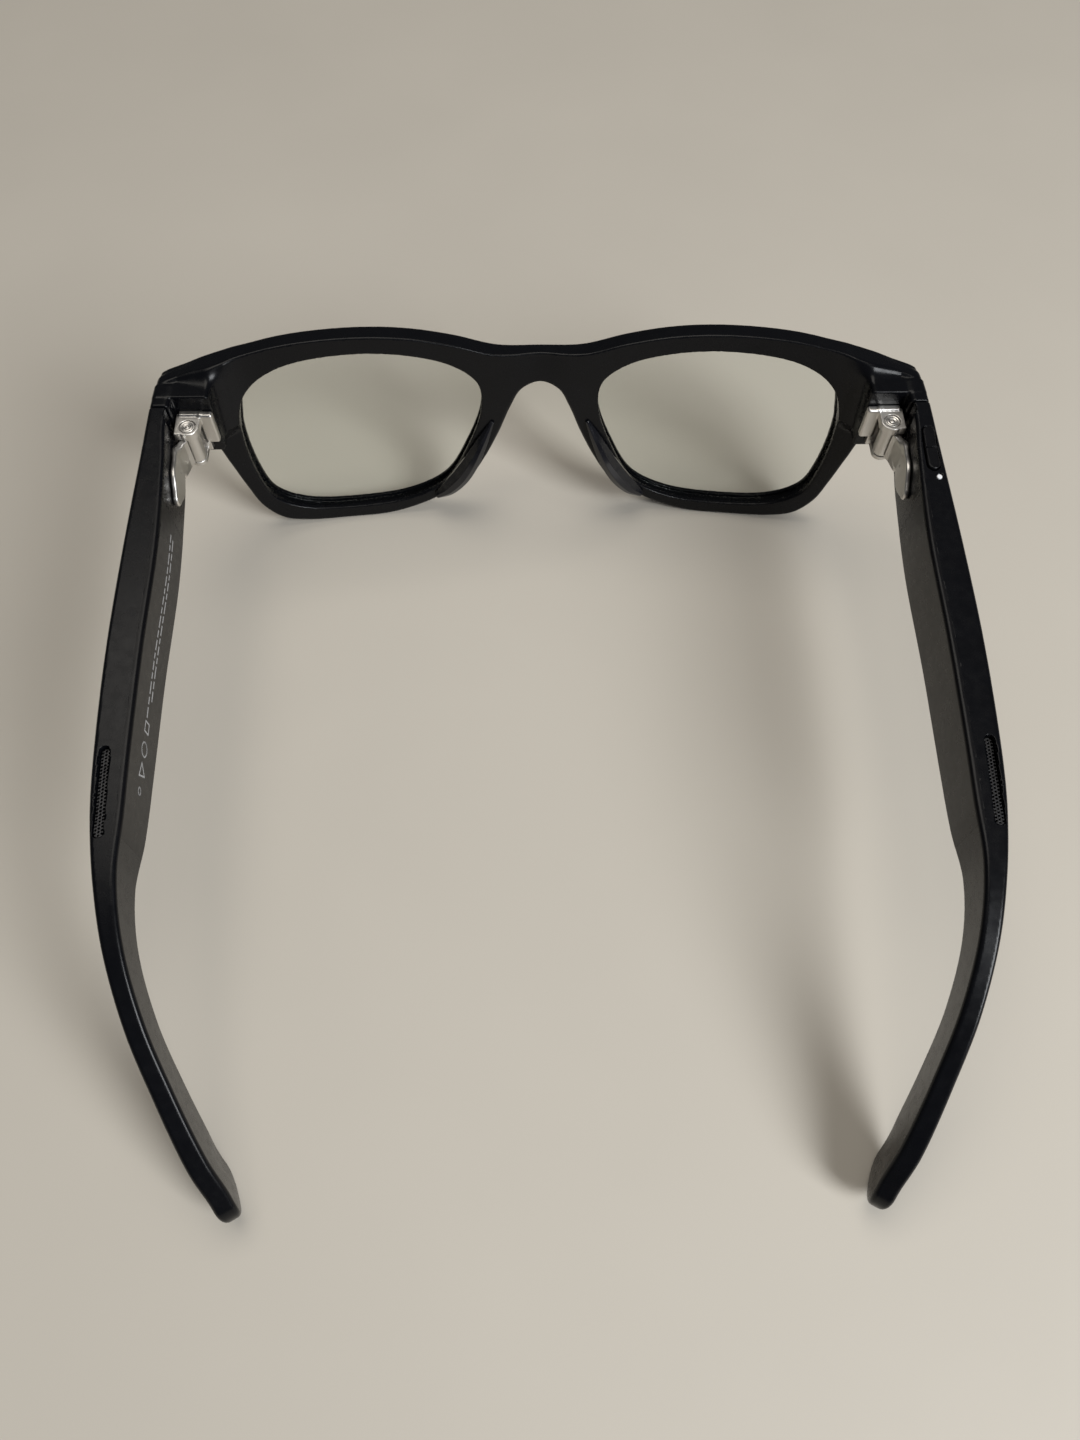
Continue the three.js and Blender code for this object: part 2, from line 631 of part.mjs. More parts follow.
const SCREW = { head: 1.3, top: HINGE_TOP + 0.75, recess: 0.6, recessDepth: 0.2, foot: HINGE_BOTTOM + 0.2 };

function hingeScrew() {
  const recessFloor = SCREW.top - SCREW.recessDepth;
  const profile = [
    [0, SCREW.foot], [HINGE.pin, SCREW.foot], [HINGE.pin, HINGE_TOP + GAP], [SCREW.head, HINGE_TOP + GAP],
    [SCREW.head, SCREW.top], [SCREW.recess, SCREW.top], [SCREW.recess, recessFloor], [0, recessFloor],
  ].map(([r, z]) => v2(r, z));
  return new THREE.LatheGeometry(profile, 20).rotateX(Math.PI / 2).translate(HINGE.x, HINGE.y, 0);
}

// The temple's half: the barrel, an arm, and a teardrop plate lying on the temple's inner face.
const LEAF = { from: 5.0, to: 16.8, thickness: 0.8, low: 31.8, high: 38.6, steps: 8 };
const ARM_OUTLINE = [
  [66.2, 1.6], [67.6, 1.2], [68.6, 3.4], [69.3, 5.2], [69.1, 6.8], [68.3, 6.8], [67.4, 4.2],
];

// Half the leaf's height at a share of its length: straight at first, then narrowing to a round end.
function leafHalf(share) {
  const pastStraight = Math.max(share * 1.9 - 0.9, 0);
  return ((LEAF.high - LEAF.low) / 2) * Math.sqrt(Math.max(1 - pastStraight ** 2, 0.03));
}

function hingeLeaf() {
  const low = HINGE_BOTTOM + LOWER_EAR + GAP;
  const high = HINGE_TOP - EAR_THICKNESS - GAP;
  const barrel = post(HINGE.x, HINGE.y, low, high, HINGE.barrel);
  const rings = [];
  for (let i = 0; i <= LEAF.steps; i += 1) {
    const share = i / LEAF.steps;
    const frame = templeFrame(spineAt(LEAF.from + (LEAF.to - LEAF.from) * share));
    const inner = -frame.thickness / 2 - GAP;
    const half = leafHalf(share);
    const middle = (LEAF.low + LEAF.high) / 2 - frame.centre.z;
    const limits = [inner - LEAF.thickness, inner, middle - half, middle + half];
    rings.push(roundedRectangle(...limits, 0).map((p) => templePoint(frame, p.x, p.y)));
  }
  const arm = prism(ARM_OUTLINE.map(([x, y]) => v2(x, y)), low, high);
  return carve([barrel, loft(rings), arm], [pinBore()]);
}

for (const side of SIDES) {
  addSide(side, 'hinge_bracket', hingeBracket(), 'steel');
  addSide(side, 'hinge_screw', hingeScrew(), 'steel');
  addSide(side, 'hinge_leaf', hingeLeaf(), 'steel');
}

// ---------------------------------------------------------------- temples
const TEMPLE_FORM = templeForm();

// A slab over the inner face; with grow it is the space that the cover needs in the shell.
function coverSlab(grow) {
  const limits = ({ thickness, height }) => {
    const inner = -thickness / 2;
    return [inner - 2, inner + COVER.thickness + grow, -height / 2 - 2, height / 2 + 2];
  };
  return templeBar(COVER.from - grow, COVER.to + grow, 14, limits);
}

function cavity() {
  return templeBar(CAVITY.from, CAVITY.to, 10, ({ thickness, height }) => [
    -thickness / 2 + 1, thickness / 2 - CAVITY.wall, -height / 2 + CAVITY.rim, height / 2 - CAVITY.rim,
  ]);
}

const topOf = (y) => templeFrame(spineAt(y)).height / 2;
const buttonTop = topOf((BUTTON.from + BUTTON.to) / 2);
const switchBottom = -topOf((SWITCH.from + SWITCH_END) / 2);
const ventTop = topOf((VENT.from + VENT.to) / 2);
const ground = box(-90, 90, 100, 160, -12, FOOT_TRIM);

// The ear's sweep is cleared out of the temple's front corner.
const earReach = Math.hypot(EAR.outboard, EAR.corner) + GAP;
const earNotch = post(HINGE.x, HINGE.y, HINGE_TOP - EAR_THICKNESS - GAP, HINGE_TOP + 10, earReach, 32);

function templeShell(extraTools) {
  const vent = pillTool(VENT.from, VENT.to, VENT.width, VENT.a, ventTop - VENT.depth, ventTop + 2);
  return carve([TEMPLE_FORM], [coverSlab(GAP), cavity(), vent, earNotch, ground, ...extraTools]);
}

// The vent's mesh sits a little below the top face.
function speakerMesh() {
  const width = VENT.width - 2 * GAP;
  const [low, high] = [ventTop - VENT.meshBottom, ventTop - VENT.meshTop];
  return pillTool(VENT.from + GAP, VENT.to - GAP, width, VENT.a, low, high);
}

// A bar inside the cavity, placed between fractions of the space from the cover to the outer wall.
function inside(from, to, a0, a1, b0, b1, steps = 4) {
  return templeBar(from, to, steps, ({ thickness }) => {
    const low = -thickness / 2 + COVER.thickness + 2 * GAP;
    const high = thickness / 2 - CAVITY.wall - GAP;
    return [low + (high - low) * a0, low + (high - low) * a1, b0, b1];
  });
}

function addTempleParts(side, extraTools) {
  addSide(side, 'temple_shell', templeShell(extraTools), 'frame');
  addSide(side, 'temple_cover', common(TEMPLE_FORM, coverSlab(0)), 'cover');
  addSide(side, 'speaker', inside(67, 81, 0, 1, -4.2, 3.4), 'speaker');
  addSide(side, 'speaker_mesh', speakerMesh(), 'mesh');
  addSide(side, 'microphone', inside(22.2, 25.2, 0.1, 0.6, -4.6, -2.6, 1), 'cell');
}

// Each inner part is given from where to where along the temple, its share of the space across, and
// its lowest and highest point from the spine.
// wearer's left: battery, power board and the power switch under the temple
const switchSlot = pillTool(
  SWITCH.from, SWITCH_END, SWITCH.width + 2 * GAP, 0, switchBottom - 2, switchBottom + SWITCH.depth + GAP,
);
addTempleParts('left', [switchSlot]);
addSide('left', 'battery', inside(36.5, 65.5, 0, 1, -5.0, 5.0), 'cell');
addSide('left', 'power_board', carve([
  inside(22.4, 35.5, 0.7, 1, -1.8, 5.0),
  inside(27, 31, 0.2, 0.75, -0.5, 3.5, 1),
], []), 'board');
const knobFrom = SWITCH.from + GAP;
addSide('left', 'power_switch', pillTool(
  knobFrom, knobFrom + SWITCH.knob, SWITCH.width, 0, switchBottom - SWITCH.proud, switchBottom + SWITCH.depth,
), 'cover');

// wearer's right: main board, touch strip, capture button with its dome switch, and the status light
const dome = { from: 10.0, to: 11.4, width: 1.3, height: 0.6, room: 1.5 };
const buttonFloor = buttonTop - BUTTON.depth - dome.room;
const buttonPocket = pillTool(
  BUTTON.from, BUTTON.to, BUTTON.width + 2 * GAP, BUTTON.a, buttonFloor, buttonTop + 3,
);
const statusLight = { from: 16.7, to: 17.7, width: 1.0, a: 0.9, depth: 1.7, proud: 0.05 };
const lightTop = topOf((statusLight.from + statusLight.to) / 2);
const lightBore = pillTool(
  statusLight.from - GAP, statusLight.to + GAP, statusLight.width + 2 * GAP, statusLight.a,
  lightTop - statusLight.depth - GAP, lightTop + 2,
);
addTempleParts('right', [buttonPocket, lightBore]);
addSide('right', 'main_board', carve([
  inside(26.5, 65.5, 0.42, 0.68, -4.9, 4.9),
  inside(30, 40, 0, 0.5, -3.6, 3.6, 1),
  inside(46, 58, 0, 0.5, -3.2, 3.2, 1),
], []), 'board');
addSide('right', 'touch_strip', inside(27.5, 64.5, 0.82, 1, -3.8, 3.8), 'flex');
addSide('right', 'button_dome', pillTool(
  dome.from, dome.to, dome.width, BUTTON.a, buttonFloor + GAP, buttonFloor + GAP + dome.height,
), 'gold');
addSide('right', 'capture_button', pillTool(
  BUTTON.from + GAP, BUTTON.to - GAP, BUTTON.width, BUTTON.a,
  buttonTop - BUTTON.depth, buttonTop + BUTTON.proud,
), 'cover');
addSide('right', 'status_light', pillTool(
  statusLight.from, statusLight.to, statusLight.width, statusLight.a,
  lightTop - statusLight.depth, lightTop + statusLight.proud,
), 'light');

// ---------------------------------------------------------------- origin
// The centre of the footprint, on the surface that the rims and tips stand on.
const bounds = new THREE.Box3().setFromObject(glasses);
const centre = bounds.getCenter(v3(0, 0, 0));
glasses.position.set(-centre.x, -centre.y, -bounds.min.z);

export default glasses;
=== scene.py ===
import json
import math

import bpy
import numpy as np
from mathutils import Matrix, Vector


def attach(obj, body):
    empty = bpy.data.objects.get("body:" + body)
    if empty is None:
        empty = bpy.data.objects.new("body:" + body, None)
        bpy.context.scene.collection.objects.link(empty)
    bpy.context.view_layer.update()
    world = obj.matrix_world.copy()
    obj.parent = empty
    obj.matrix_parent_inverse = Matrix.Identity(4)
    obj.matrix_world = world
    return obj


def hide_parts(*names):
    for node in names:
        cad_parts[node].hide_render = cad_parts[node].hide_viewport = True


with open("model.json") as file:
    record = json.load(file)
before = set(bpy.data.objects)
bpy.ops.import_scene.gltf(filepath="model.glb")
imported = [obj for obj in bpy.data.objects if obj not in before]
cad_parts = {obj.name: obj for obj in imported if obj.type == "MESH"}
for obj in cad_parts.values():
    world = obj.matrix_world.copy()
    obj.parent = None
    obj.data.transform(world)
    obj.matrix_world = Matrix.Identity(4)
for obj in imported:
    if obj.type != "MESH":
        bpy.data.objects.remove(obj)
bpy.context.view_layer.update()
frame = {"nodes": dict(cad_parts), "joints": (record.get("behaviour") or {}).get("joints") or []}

# Smart glasses, in millimetres, laid out like the CAD: the temple seam is at y = 0, the wearer's left
# side is +X, and pieces of the right side are made on the left and mirrored. Most shapes are signed
# distance fields, which surface() turns into closed meshes. Lenses, nose pads, screws, windows, the
# camera barrel and the printed marks are meshes made directly. add_piece() puts a mesh into the frame.

# ---------------------------------------------------------------- dimensions, mm
FOOT_TRIM = 0.35
HINGE_X, HINGE_Y = 67.0, 1.4
FOLD = next(joint for joint in frame["joints"] if joint["name"] == "left_temple_fold")
TO_FRAME = np.array([0.0, FOLD["pos_m"][1] * 1000 - HINGE_Y, -FOOT_TRIM])

PLATE_HALF = 2.1
PLATE_Y = -10.8
TILT = math.radians(8.1)
WRAP_DEPTH, WRAP_HALF_WIDTH, WRAP_POWER = 9.0, 72.0, 2.85
LENS_HALF = 0.9
LENS_OVERLAP = 0.45
LENS_CHAMFER = 0.15
GROOVE_DEPTH = 0.7

# where the meshes and their shading leave the CAD's shape on purpose
GROOVE_GRIP = 0.05
FRONT_SHRINK = 0.06
COVER_LAP = 0.35
COVER_PROUD = 0.015
SKIN_DEPTH = 0.12

SEAM = 0.15
SEAT_Y = -2.3
HINGE_TOP, HINGE_BOTTOM = 39.0, 29.8
BARREL = 1.65

# outlines of the front, (across, up) on the flat plate
OPENING = [
    (60, 28.5), (58, 35.8), (51.5, 40.3), (40, 42.1), (27, 41.3), (17.5, 38.5), (12.6, 34.2), (12.2, 27.5),
    (15.5, 17.7), (20.5, 9), (28, 4.7), (38, 3.2), (50.5, 4.4), (56.8, 8.5), (59.2, 15.5),
]
TOP_EDGE = [(0, 41), (8.5, 41.15), (17, 43.5), (26, 45.3), (36, 46.1), (50, 45.75), (62, 43.9), (71, 42.3)]
END_EDGE = [(72.2, 41.8), (72.7, 40.9), (72.1, 29), (71.4, 27.9), (70.2, 27.4)]
LOWER_EDGE = [
    (68.2, 27), (65.8, 24.8), (64.2, 19.8), (62.1, 12.5), (60, 6.6), (56.3, 2.2), (51, 0.4), (42, -0.2),
    (33, 0.1), (25, 2.7), (19, 6.3), (14.8, 9.8), (11.5, 15.2), (8.4, 21.9), (5.9, 28.3), (3.6, 32.6),
    (0, 34.3),
]

# temple: y, height of the spine, section height, x of the spine, section thickness
TEMPLE = [
    (0.15, 35.6, 14.8, 71.55, 3.5), (5, 35.45, 14.7, 71.55, 3.7), (12, 35.2, 14.5, 71.25, 4.6),
    (30, 34.7, 14.1, 70.85, 6.1), (50, 34.1, 13.8, 70.8, 6.2), (68, 33.6, 13.4, 70.2, 5.9),
    (80, 33.4, 12.4, 69.5, 5.3), (90, 33, 10.3, 68.75, 3.7), (100, 30.6, 9, 66.95, 3.2),
    (110, 25.5, 8.9, 64, 3.2), (119, 18.5, 9.7, 60.4, 3.3), (127, 11.3, 10.8, 56.8, 3.5),
    (132, 5.8, 11.2, 54, 3.4),
]
# distances behind the seam: the cover's start, end and thickness, and the hollow's start and end
COVER = (20.0, 84.0, 1.3)
CAVITY = (21.5, 82.5)
WALL_INBOARD, WALL_OUTBOARD, WALL_EDGE = 1, 1.2, 1.3
# slots on the temple: start and end behind the seam, width, offset outboard
VENT = (68.6, 84.0, 1.7, 1.0)
BUTTON = (5.6, 15.8, 2.2, 0.2)
LIGHT = (16.7, 17.7, 1.0, 0.9)
SWITCH = (7.0, 13.6, 2.0, 0.0)
BUTTON_Y, LIGHT_Y, SWITCH_Y = 10.7, 17.2, 10.3


# ---------------------------------------------------------------- camera, light and floor
def photo_camera():
    """The camera at the reference's viewing angle, above and behind the glasses."""
    data = bpy.data.cameras.new("camera")
    data.lens, data.sensor_width = 27.43, 36.0
    camera = bpy.data.objects.new("camera", data)
    bpy.context.scene.collection.objects.link(camera)
    bpy.context.scene.camera = camera
    tilt, roll, yaw = math.radians(27.22), math.radians(1.18), math.radians(-2.14)
    turn = Matrix.Rotation(math.pi + yaw, 3, "Z") @ Matrix.Rotation(tilt, 3, "X")
    turn = turn @ Matrix.Rotation(roll, 3, "Z")
    camera.matrix_world = Matrix.Translation((0.00461, 0.08746, 0.1983)) @ turn.to_4x4()
    data.clip_start, data.clip_end = 0.005, 20


def area_light(name, place, aim, size, watts, colour):
    data = bpy.data.lights.new(name, "AREA")
    data.shape, data.size, data.size_y = "RECTANGLE", size[0], size[1]
    data.energy, data.color = watts, colour
    light = bpy.data.objects.new(name, data)
    bpy.context.scene.collection.objects.link(light)
    light.location = place
    light.rotation_euler = (Vector(aim) - Vector(place)).to_track_quat("-Z", "Y").to_euler()


def studio():
    area_light("overhead", (0.1, -0.35, 1.3), (0, 0, 0), (0.9, 0.9), 7.3, (1.0, 0.95, 0.87))
    area_light("window", (-0.55, 0.5, 0.62), (0, 0, 0), (0.35, 0.5), 9.5, (0.95, 0.975, 1.0))
    world = bpy.data.worlds.new("studio")
    bpy.context.scene.world = world
    world.use_nodes = True
    world.node_tree.nodes["Background"].inputs["Color"].default_value = (0.58, 0.59, 0.62, 1)
    world.node_tree.nodes["Background"].inputs["Strength"].default_value = 0.13
    bpy.context.scene.view_settings.view_transform = "Standard"

    mesh = bpy.data.meshes.new("floor")
    half = 4.0
    corners = [(-half, -half, 0), (half, -half, 0), (half, half, 0), (-half, half, 0)]
    mesh.from_pydata(corners, [], [(0, 1, 2, 3)])
    floor = bpy.data.objects.new("floor", mesh)
    bpy.context.scene.collection.objects.link(floor)
    stone = surface_material("floor", (0.53, 0.49, 0.425), 0.6, scale=40, tint=0.04, bump=0.01)
    floor.data.materials.append(stone)


# ---------------------------------------------------------------- materials
def surface_material(name, colour, roughness, metallic=0.0, scale=600, tint=0.2, rough_spread=0.08, bump=0.03,
                     stretch=(1, 1, 1), coat=0.0, mirror=0.5):
    """A shader whose colour, roughness and relief vary with noise; scale is the noise frequency per metre."""
    material = bpy.data.materials.new(name)
    material.use_nodes = True
    nodes, links = material.node_tree.nodes, material.node_tree.links
    shader = nodes["Principled BSDF"]
    shader.inputs["Metallic"].default_value = metallic
    shader.inputs["Specular IOR Level"].default_value = mirror
    shader.inputs["Coat Weight"].default_value = coat
    shader.inputs["Coat Roughness"].default_value = 0.06
    place = nodes.new("ShaderNodeTexCoord")
    squeeze = nodes.new("ShaderNodeMapping")
    squeeze.inputs["Scale"].default_value = stretch
    links.new(place.outputs["Object"], squeeze.inputs["Vector"])

    def noise(frequency, detail):
        node = nodes.new("ShaderNodeTexNoise")
        node.inputs["Scale"].default_value = frequency
        node.inputs["Detail"].default_value = detail
        links.new(squeeze.outputs["Vector"], node.inputs["Vector"])
        return node.outputs["Fac"]

    def spread(value, low, high):
        node = nodes.new("ShaderNodeMapRange")
        node.inputs["From Min"].default_value, node.inputs["From Max"].default_value = 0.3, 0.7
        node.inputs["To Min"].default_value, node.inputs["To Max"].default_value = low, high
        links.new(value, node.inputs["Value"])
        return node.outputs["Result"]

    fine, broad = noise(scale * 4, 6), noise(scale * 0.4, 3)
    mix = nodes.new("ShaderNodeMix")
    mix.data_type = "RGBA"
    mix.inputs["A"].default_value = (*[c * (1 - tint) for c in colour], 1)
    mix.inputs["B"].default_value = (*[min(c * (1 + tint), 1) for c in colour], 1)
    links.new(broad, mix.inputs["Factor"])
    links.new(mix.outputs["Result"], shader.inputs["Base Color"])
    links.new(spread(noise(scale, 4), roughness - rough_spread / 2, roughness + rough_spread / 2),
              shader.inputs["Roughness"])
    relief = nodes.new("ShaderNodeBump")
    relief.inputs["Strength"].default_value = bump
    relief.inputs["Distance"].default_value = 0.0001
    links.new(fine, relief.inputs["Height"])
    links.new(relief.outputs["Normal"], shader.inputs["Normal"])
    return material


def clear_material(name, tint, gloss_roughness):
    """Thin coated lens: see-through, with a reflection that grows towards grazing angles."""
    material = bpy.data.materials.new(name)
    material.use_nodes = True
    nodes, links = material.node_tree.nodes, material.node_tree.links
    nodes.remove(nodes["Principled BSDF"])
    see = nodes.new("ShaderNodeBsdfTransparent")
    see.inputs["Color"].default_value = (*tint, 1)
    gloss = nodes.new("ShaderNodeBsdfGlossy")
    place = nodes.new("ShaderNodeTexCoord")
    smear = nodes.new("ShaderNodeTexNoise")
    smear.inputs["Scale"].default_value = 180
    links.new(place.outputs["Object"], smear.inputs["Vector"])
    spread = nodes.new("ShaderNodeMapRange")
    spread.inputs["To Min"].default_value, spread.inputs["To Max"].default_value = gloss_roughness, 0.12
    links.new(smear.outputs["Fac"], spread.inputs["Value"])
    links.new(spread.outputs["Result"], gloss.inputs["Roughness"])
    facing = nodes.new("ShaderNodeLayerWeight")
    facing.inputs["Blend"].default_value = 0.08
    mix = nodes.new("ShaderNodeMixShader")
    links.new(facing.outputs["Facing"], mix.inputs["Fac"])
    links.new(see.outputs["BSDF"], mix.inputs[1])
    links.new(gloss.outputs["BSDF"], mix.inputs[2])
    links.new(mix.outputs["Shader"], nodes["Material Output"].inputs["Surface"])
    return material


def make_materials():
    """The materials by slot name."""
    made = {}
    metal = {"metallic": 1.0}

    def add(name, *look, **more):
        made[name] = surface_material(name, *look, **more)

    add("frame_plastic", (0.0026, 0.0028, 0.0038), 0.26, tint=0.25, bump=0.02, mirror=0.2)
    add("cover_plastic", (0.0032, 0.0032, 0.004), 0.3, mirror=0.2)
    add("pad_plastic", (0.008, 0.0082, 0.0105), 0.12, rough_spread=0.04, bump=0.01)
    made["lens_clear"] = clear_material("lens_clear", (0.975, 0.985, 0.972), 0.02)
    add("window_black", (0.004, 0.004, 0.006), 0.06, rough_spread=0.03, bump=0.004, coat=0.5)
    add("optics_black", (0.012, 0.014, 0.03), 0.1, rough_spread=0.04, coat=1.0)
    add("module_black", (0.02, 0.02, 0.022), 0.5, tint=0.3, bump=0.1)
    add("circuit_board", (0.012, 0.09, 0.045), 0.42, scale=1500, tint=0.5, bump=0.2)
    add("flex_circuit", (0.42, 0.17, 0.03), 0.38, scale=1200, tint=0.35, bump=0.1)
    add("component_metal", (0.45, 0.46, 0.48), 0.35, **metal)
    add("contact_gold", (0.83, 0.6, 0.25), 0.25, **metal)
    add("hinge_steel", (0.66, 0.64, 0.61), 0.36, scale=900, tint=0.06, rough_spread=0.1, bump=0.012,
        stretch=(1, 1, 0.2), **metal)
    add("speaker_mesh", (0.05, 0.05, 0.052), 0.45, scale=3000, bump=0.2, **metal)
    # status light window: partly the window's own pale grey, partly a painted highlight that stands in for
    # the glint at the rear end of the button
    add("status_light", (0.82, 0.83, 0.84), 0.25, tint=0.05)
    add("print", (0.34, 0.34, 0.35), 0.5, scale=4000, tint=0.25)
    return made


# ---------------------------------------------------------------- combining fields
def round_and(a, b, r):
    """What is inside both, with the edge rounded to radius r."""
    return np.minimum(np.maximum(a, b), -r) + np.hypot(np.maximum(a + r, 0), np.maximum(b + r, 0))


def cut(a, tool, r):
    return round_and(a, -tool, r)


def merge(a, b, k):
    """What is inside either, with a smooth join about k wide."""
    h = np.maximum(k - np.abs(a - b), 0) / k
    return np.minimum(a, b) - h * h * k / 4


def slab(value, low, high):
    return np.abs(value - (low + high) / 2) - (high - low) / 2


def box_field(p, low, high, r):
    """A box with every edge rounded to radius r."""
    low, high = np.array(low, float), np.array(high, float)
    q = np.abs(p - (low + high) / 2) - (high - low) / 2 + r
    return np.linalg.norm(np.maximum(q, 0), axis=1) + np.minimum(q.max(1), 0) - r


def rectangle(a, b, half_a, half_b, r):
    qa, qb = np.abs(a) - half_a + r, np.abs(b) - half_b + r
    return np.hypot(np.maximum(qa, 0), np.maximum(qb, 0)) + np.minimum(np.maximum(qa, qb), 0) - r


def post_field(p, x, y, low, high, radius, r):
    return round_and(np.hypot(p[:, 0] - x, p[:, 1] - y) - radius, slab(p[:, 2], low, high), r)


def capsule(p, start, end, radius):
    """A straight round-ended bar; p, start and end may be 2-D or 3-D."""
    start, end = np.array(start, float), np.array(end, float)
    along = end - start
    share = np.clip((p - start) @ along / (along @ along), 0, 1)
    return np.linalg.norm(p - start - share[:, None] * along, axis=1) - radius


def tapered_capsule(x, y, x0, r0, x1, r1):
    """The outline of two circles on the x axis with their common tangents."""
    height = x1 - x0
    lean = (r0 - r1) / height
    rise = math.sqrt(1 - lean * lean)
    x, y = x - x0, np.abs(y)
    k = rise * x - lean * y
    middle = rise * y + lean * x - r0
    result = np.where(k < 0, np.hypot(x, y) - r0, middle)
    return np.where(k > rise * height, np.hypot(x - height, y) - r1, result)


# ---------------------------------------------------------------- curves
def smooth_curve(points, per_span=16, closed=False, uniform=False):
    """Points along a Catmull-Rom curve, centripetal unless uniform."""
    given = np.array(points, float)
    if closed:
        given = np.vstack([given[-1:], given, given[:2]])
    else:
        given = np.vstack([2 * given[0] - given[1], given, 2 * given[-1] - given[-2]])
    result = []
    for span in zip(given, given[1:], given[2:], given[3:]):
        gaps = [1.0 if uniform else math.sqrt(np.linalg.norm(b - a)) for a, b in zip(span, span[1:])]
        knots = np.cumsum([0.0, *gaps])
        t = np.linspace(knots[1], knots[2], per_span, endpoint=False)[:, None]

        def between(i, j, first, second):
            return ((knots[j] - t) * first + (t - knots[i]) * second) / (knots[j] - knots[i])

        low, middle, high = (between(i, i + 1, span[i], span[i + 1]) for i in range(3))
        result.append(between(1, 2, between(0, 2, low, middle), between(1, 3, middle, high)))
    if not closed:
        result.append(given[-2:-1])
    return np.vstack(result)


class Outline:
    """Signed distance to a closed outline, negative inside, read from a grid by cubic interpolation."""

    STEP = 0.25

    def __init__(self, polygon, low, high, filled=True):
        self.low = np.array(low, float)
        count = np.ceil((np.array(high) - self.low) / self.STEP).astype(int) + 1
        grid = np.stack(np.meshgrid(*[np.arange(c) for c in count], indexing="ij"), -1) * self.STEP + self.low
        points = grid.reshape(-1, 2)
        start, end = polygon, np.roll(polygon, -1, axis=0)
        if not filled:
            start, end = start[:-1], end[:-1]
        best = np.full(len(points), np.inf)
        inside = np.zeros(len(points), bool)
        for a, b in zip(start, end):
            along = b - a
            share = np.clip((points - a) @ along / max(along @ along, 1e-12), 0, 1)
            away = points - a - share[:, None] * along
            best = np.minimum(best, (away**2).sum(1))
            crosses = (a[1] > points[:, 1]) != (b[1] > points[:, 1])
            if filled and a[1] != b[1]:
                inside ^= crosses & (points[:, 0] < a[0] + (points[:, 1] - a[1]) * along[0] / along[1])
        self.values = (np.sqrt(best) * np.where(inside, -1, 1)).reshape(count)

    def __call__(self, u, w):
        position = (np.stack([u, w], 1) - self.low) / self.STEP
        position = np.clip(position, 1, np.array(self.values.shape) - 3.001)
        cell = position.astype(int)
        t = position - cell
        weights = np.stack([
            ((-0.5 * t + 1) * t - 0.5) * t, (1.5 * t - 2.5) * t * t + 1,
            ((-1.5 * t + 2) * t + 0.5) * t, (0.5 * t - 0.5) * t * t,
        ])
        total = 0
        for i in range(4):
            row = sum(weights[j, :, 1] * self.values[cell[:, 0] + i - 1, cell[:, 1] + j - 1]
                      for j in range(4))
            total = total + weights[i, :, 0] * row
        return total


class Track:
    """A curve with values that vary along it, sampled evenly by length."""

    STEP = 0.1

    def __init__(self, stations, dims, uniform=False):
        dense = smooth_curve(stations, 40, uniform=uniform)
        length = np.r_[0, np.cumsum(np.linalg.norm(np.diff(dense[:, :dims], axis=0), axis=1))]
        self.length, self.dims = length[-1], dims
        self.count = int(self.length / self.STEP)
        self.s = np.linspace(0, self.length, self.count + 1)
        self.rows = np.stack([np.interp(self.s, length, column) for column in dense.T], 1)
        ways = np.gradient(self.rows[:, :dims], self.s, axis=0)
        self.ways = ways / np.linalg.norm(ways, axis=1)[:, None]

    def at(self, s):
        """(values, direction) at each length s."""
        position = np.clip(s / self.length * self.count, 0, self.count - 1e-6)
        cell = position.astype(int)
        t = (position - cell)[:, None]
        return (self.rows[cell] * (1 - t) + self.rows[cell + 1] * t,
                self.ways[cell] * (1 - t) + self.ways[cell + 1] * t)

    def nearest(self, p, axis):
        """Length at the point of the track nearest to each p, starting from its place along one axis."""
        order = np.argsort(self.rows[:, axis])
        s = np.interp(p[:, axis], self.rows[order, axis], self.s[order])
        for _ in range(6):
            row, way = self.at(s)
            s = np.clip(s + ((p - row[:, : self.dims]) * way).sum(1) * 0.9, 0, self.length)
        return s


# ---------------------------------------------------------------- meshing
CORNERS = np.array([(i, j, k) for i in (0, 1) for j in (0, 1) for k in (0, 1)])
EDGES = [(a, b) for a in range(8) for b in range(a + 1, 8) if np.abs(CORNERS[a] - CORNERS[b]).sum() == 1]
BLOCK = 8
SLOPE_STEP = 0.01
SLOPE_WAYS = np.array([(1, -1, -1), (-1, -1, 1), (-1, 1, -1), (1, 1, 1)], float)


def sampled(field, points, chunk=150_000):
    return np.concatenate([field(points[i : i + chunk]) for i in range(0, len(points), chunk)])


def slope(field, points):
    """(value, gradient) of the field at each point."""
    values = [sampled(field, points + SLOPE_STEP * way) for way in SLOPE_WAYS]
    gradient = sum(value[:, None] * way for value, way in zip(values, SLOPE_WAYS)) / (4 * SLOPE_STEP)
    return sum(values) / 4, gradient


def grid_values(field, low, count, step):
    """The field on a grid. It is worked out near the surface only; elsewhere just its sign is right."""
    blocks = np.stack(np.meshgrid(*[np.arange(c) for c in count], indexing="ij"), -1).reshape(-1, 3)
    middle = sampled(field, low + (blocks + 0.5) * BLOCK * step)
    near = np.abs(middle) < BLOCK * step * 1.2
    values = np.where(middle < 0, -1.0, 1.0).reshape(count)
    wanted = near.reshape(count)
    for axis in range(3):
        values, wanted = np.repeat(values, BLOCK, axis), np.repeat(wanted, BLOCK, axis)
        values = np.concatenate([values, np.take(values, [-1], axis)], axis)
        wanted = np.concatenate([wanted, np.take(wanted, [-1], axis)], axis)
        wanted = wanted | np.roll(wanted, 1, axis)
    index = np.argwhere(wanted)
    values[tuple(index.T)] = sampled(field, low + index * step)
    return values


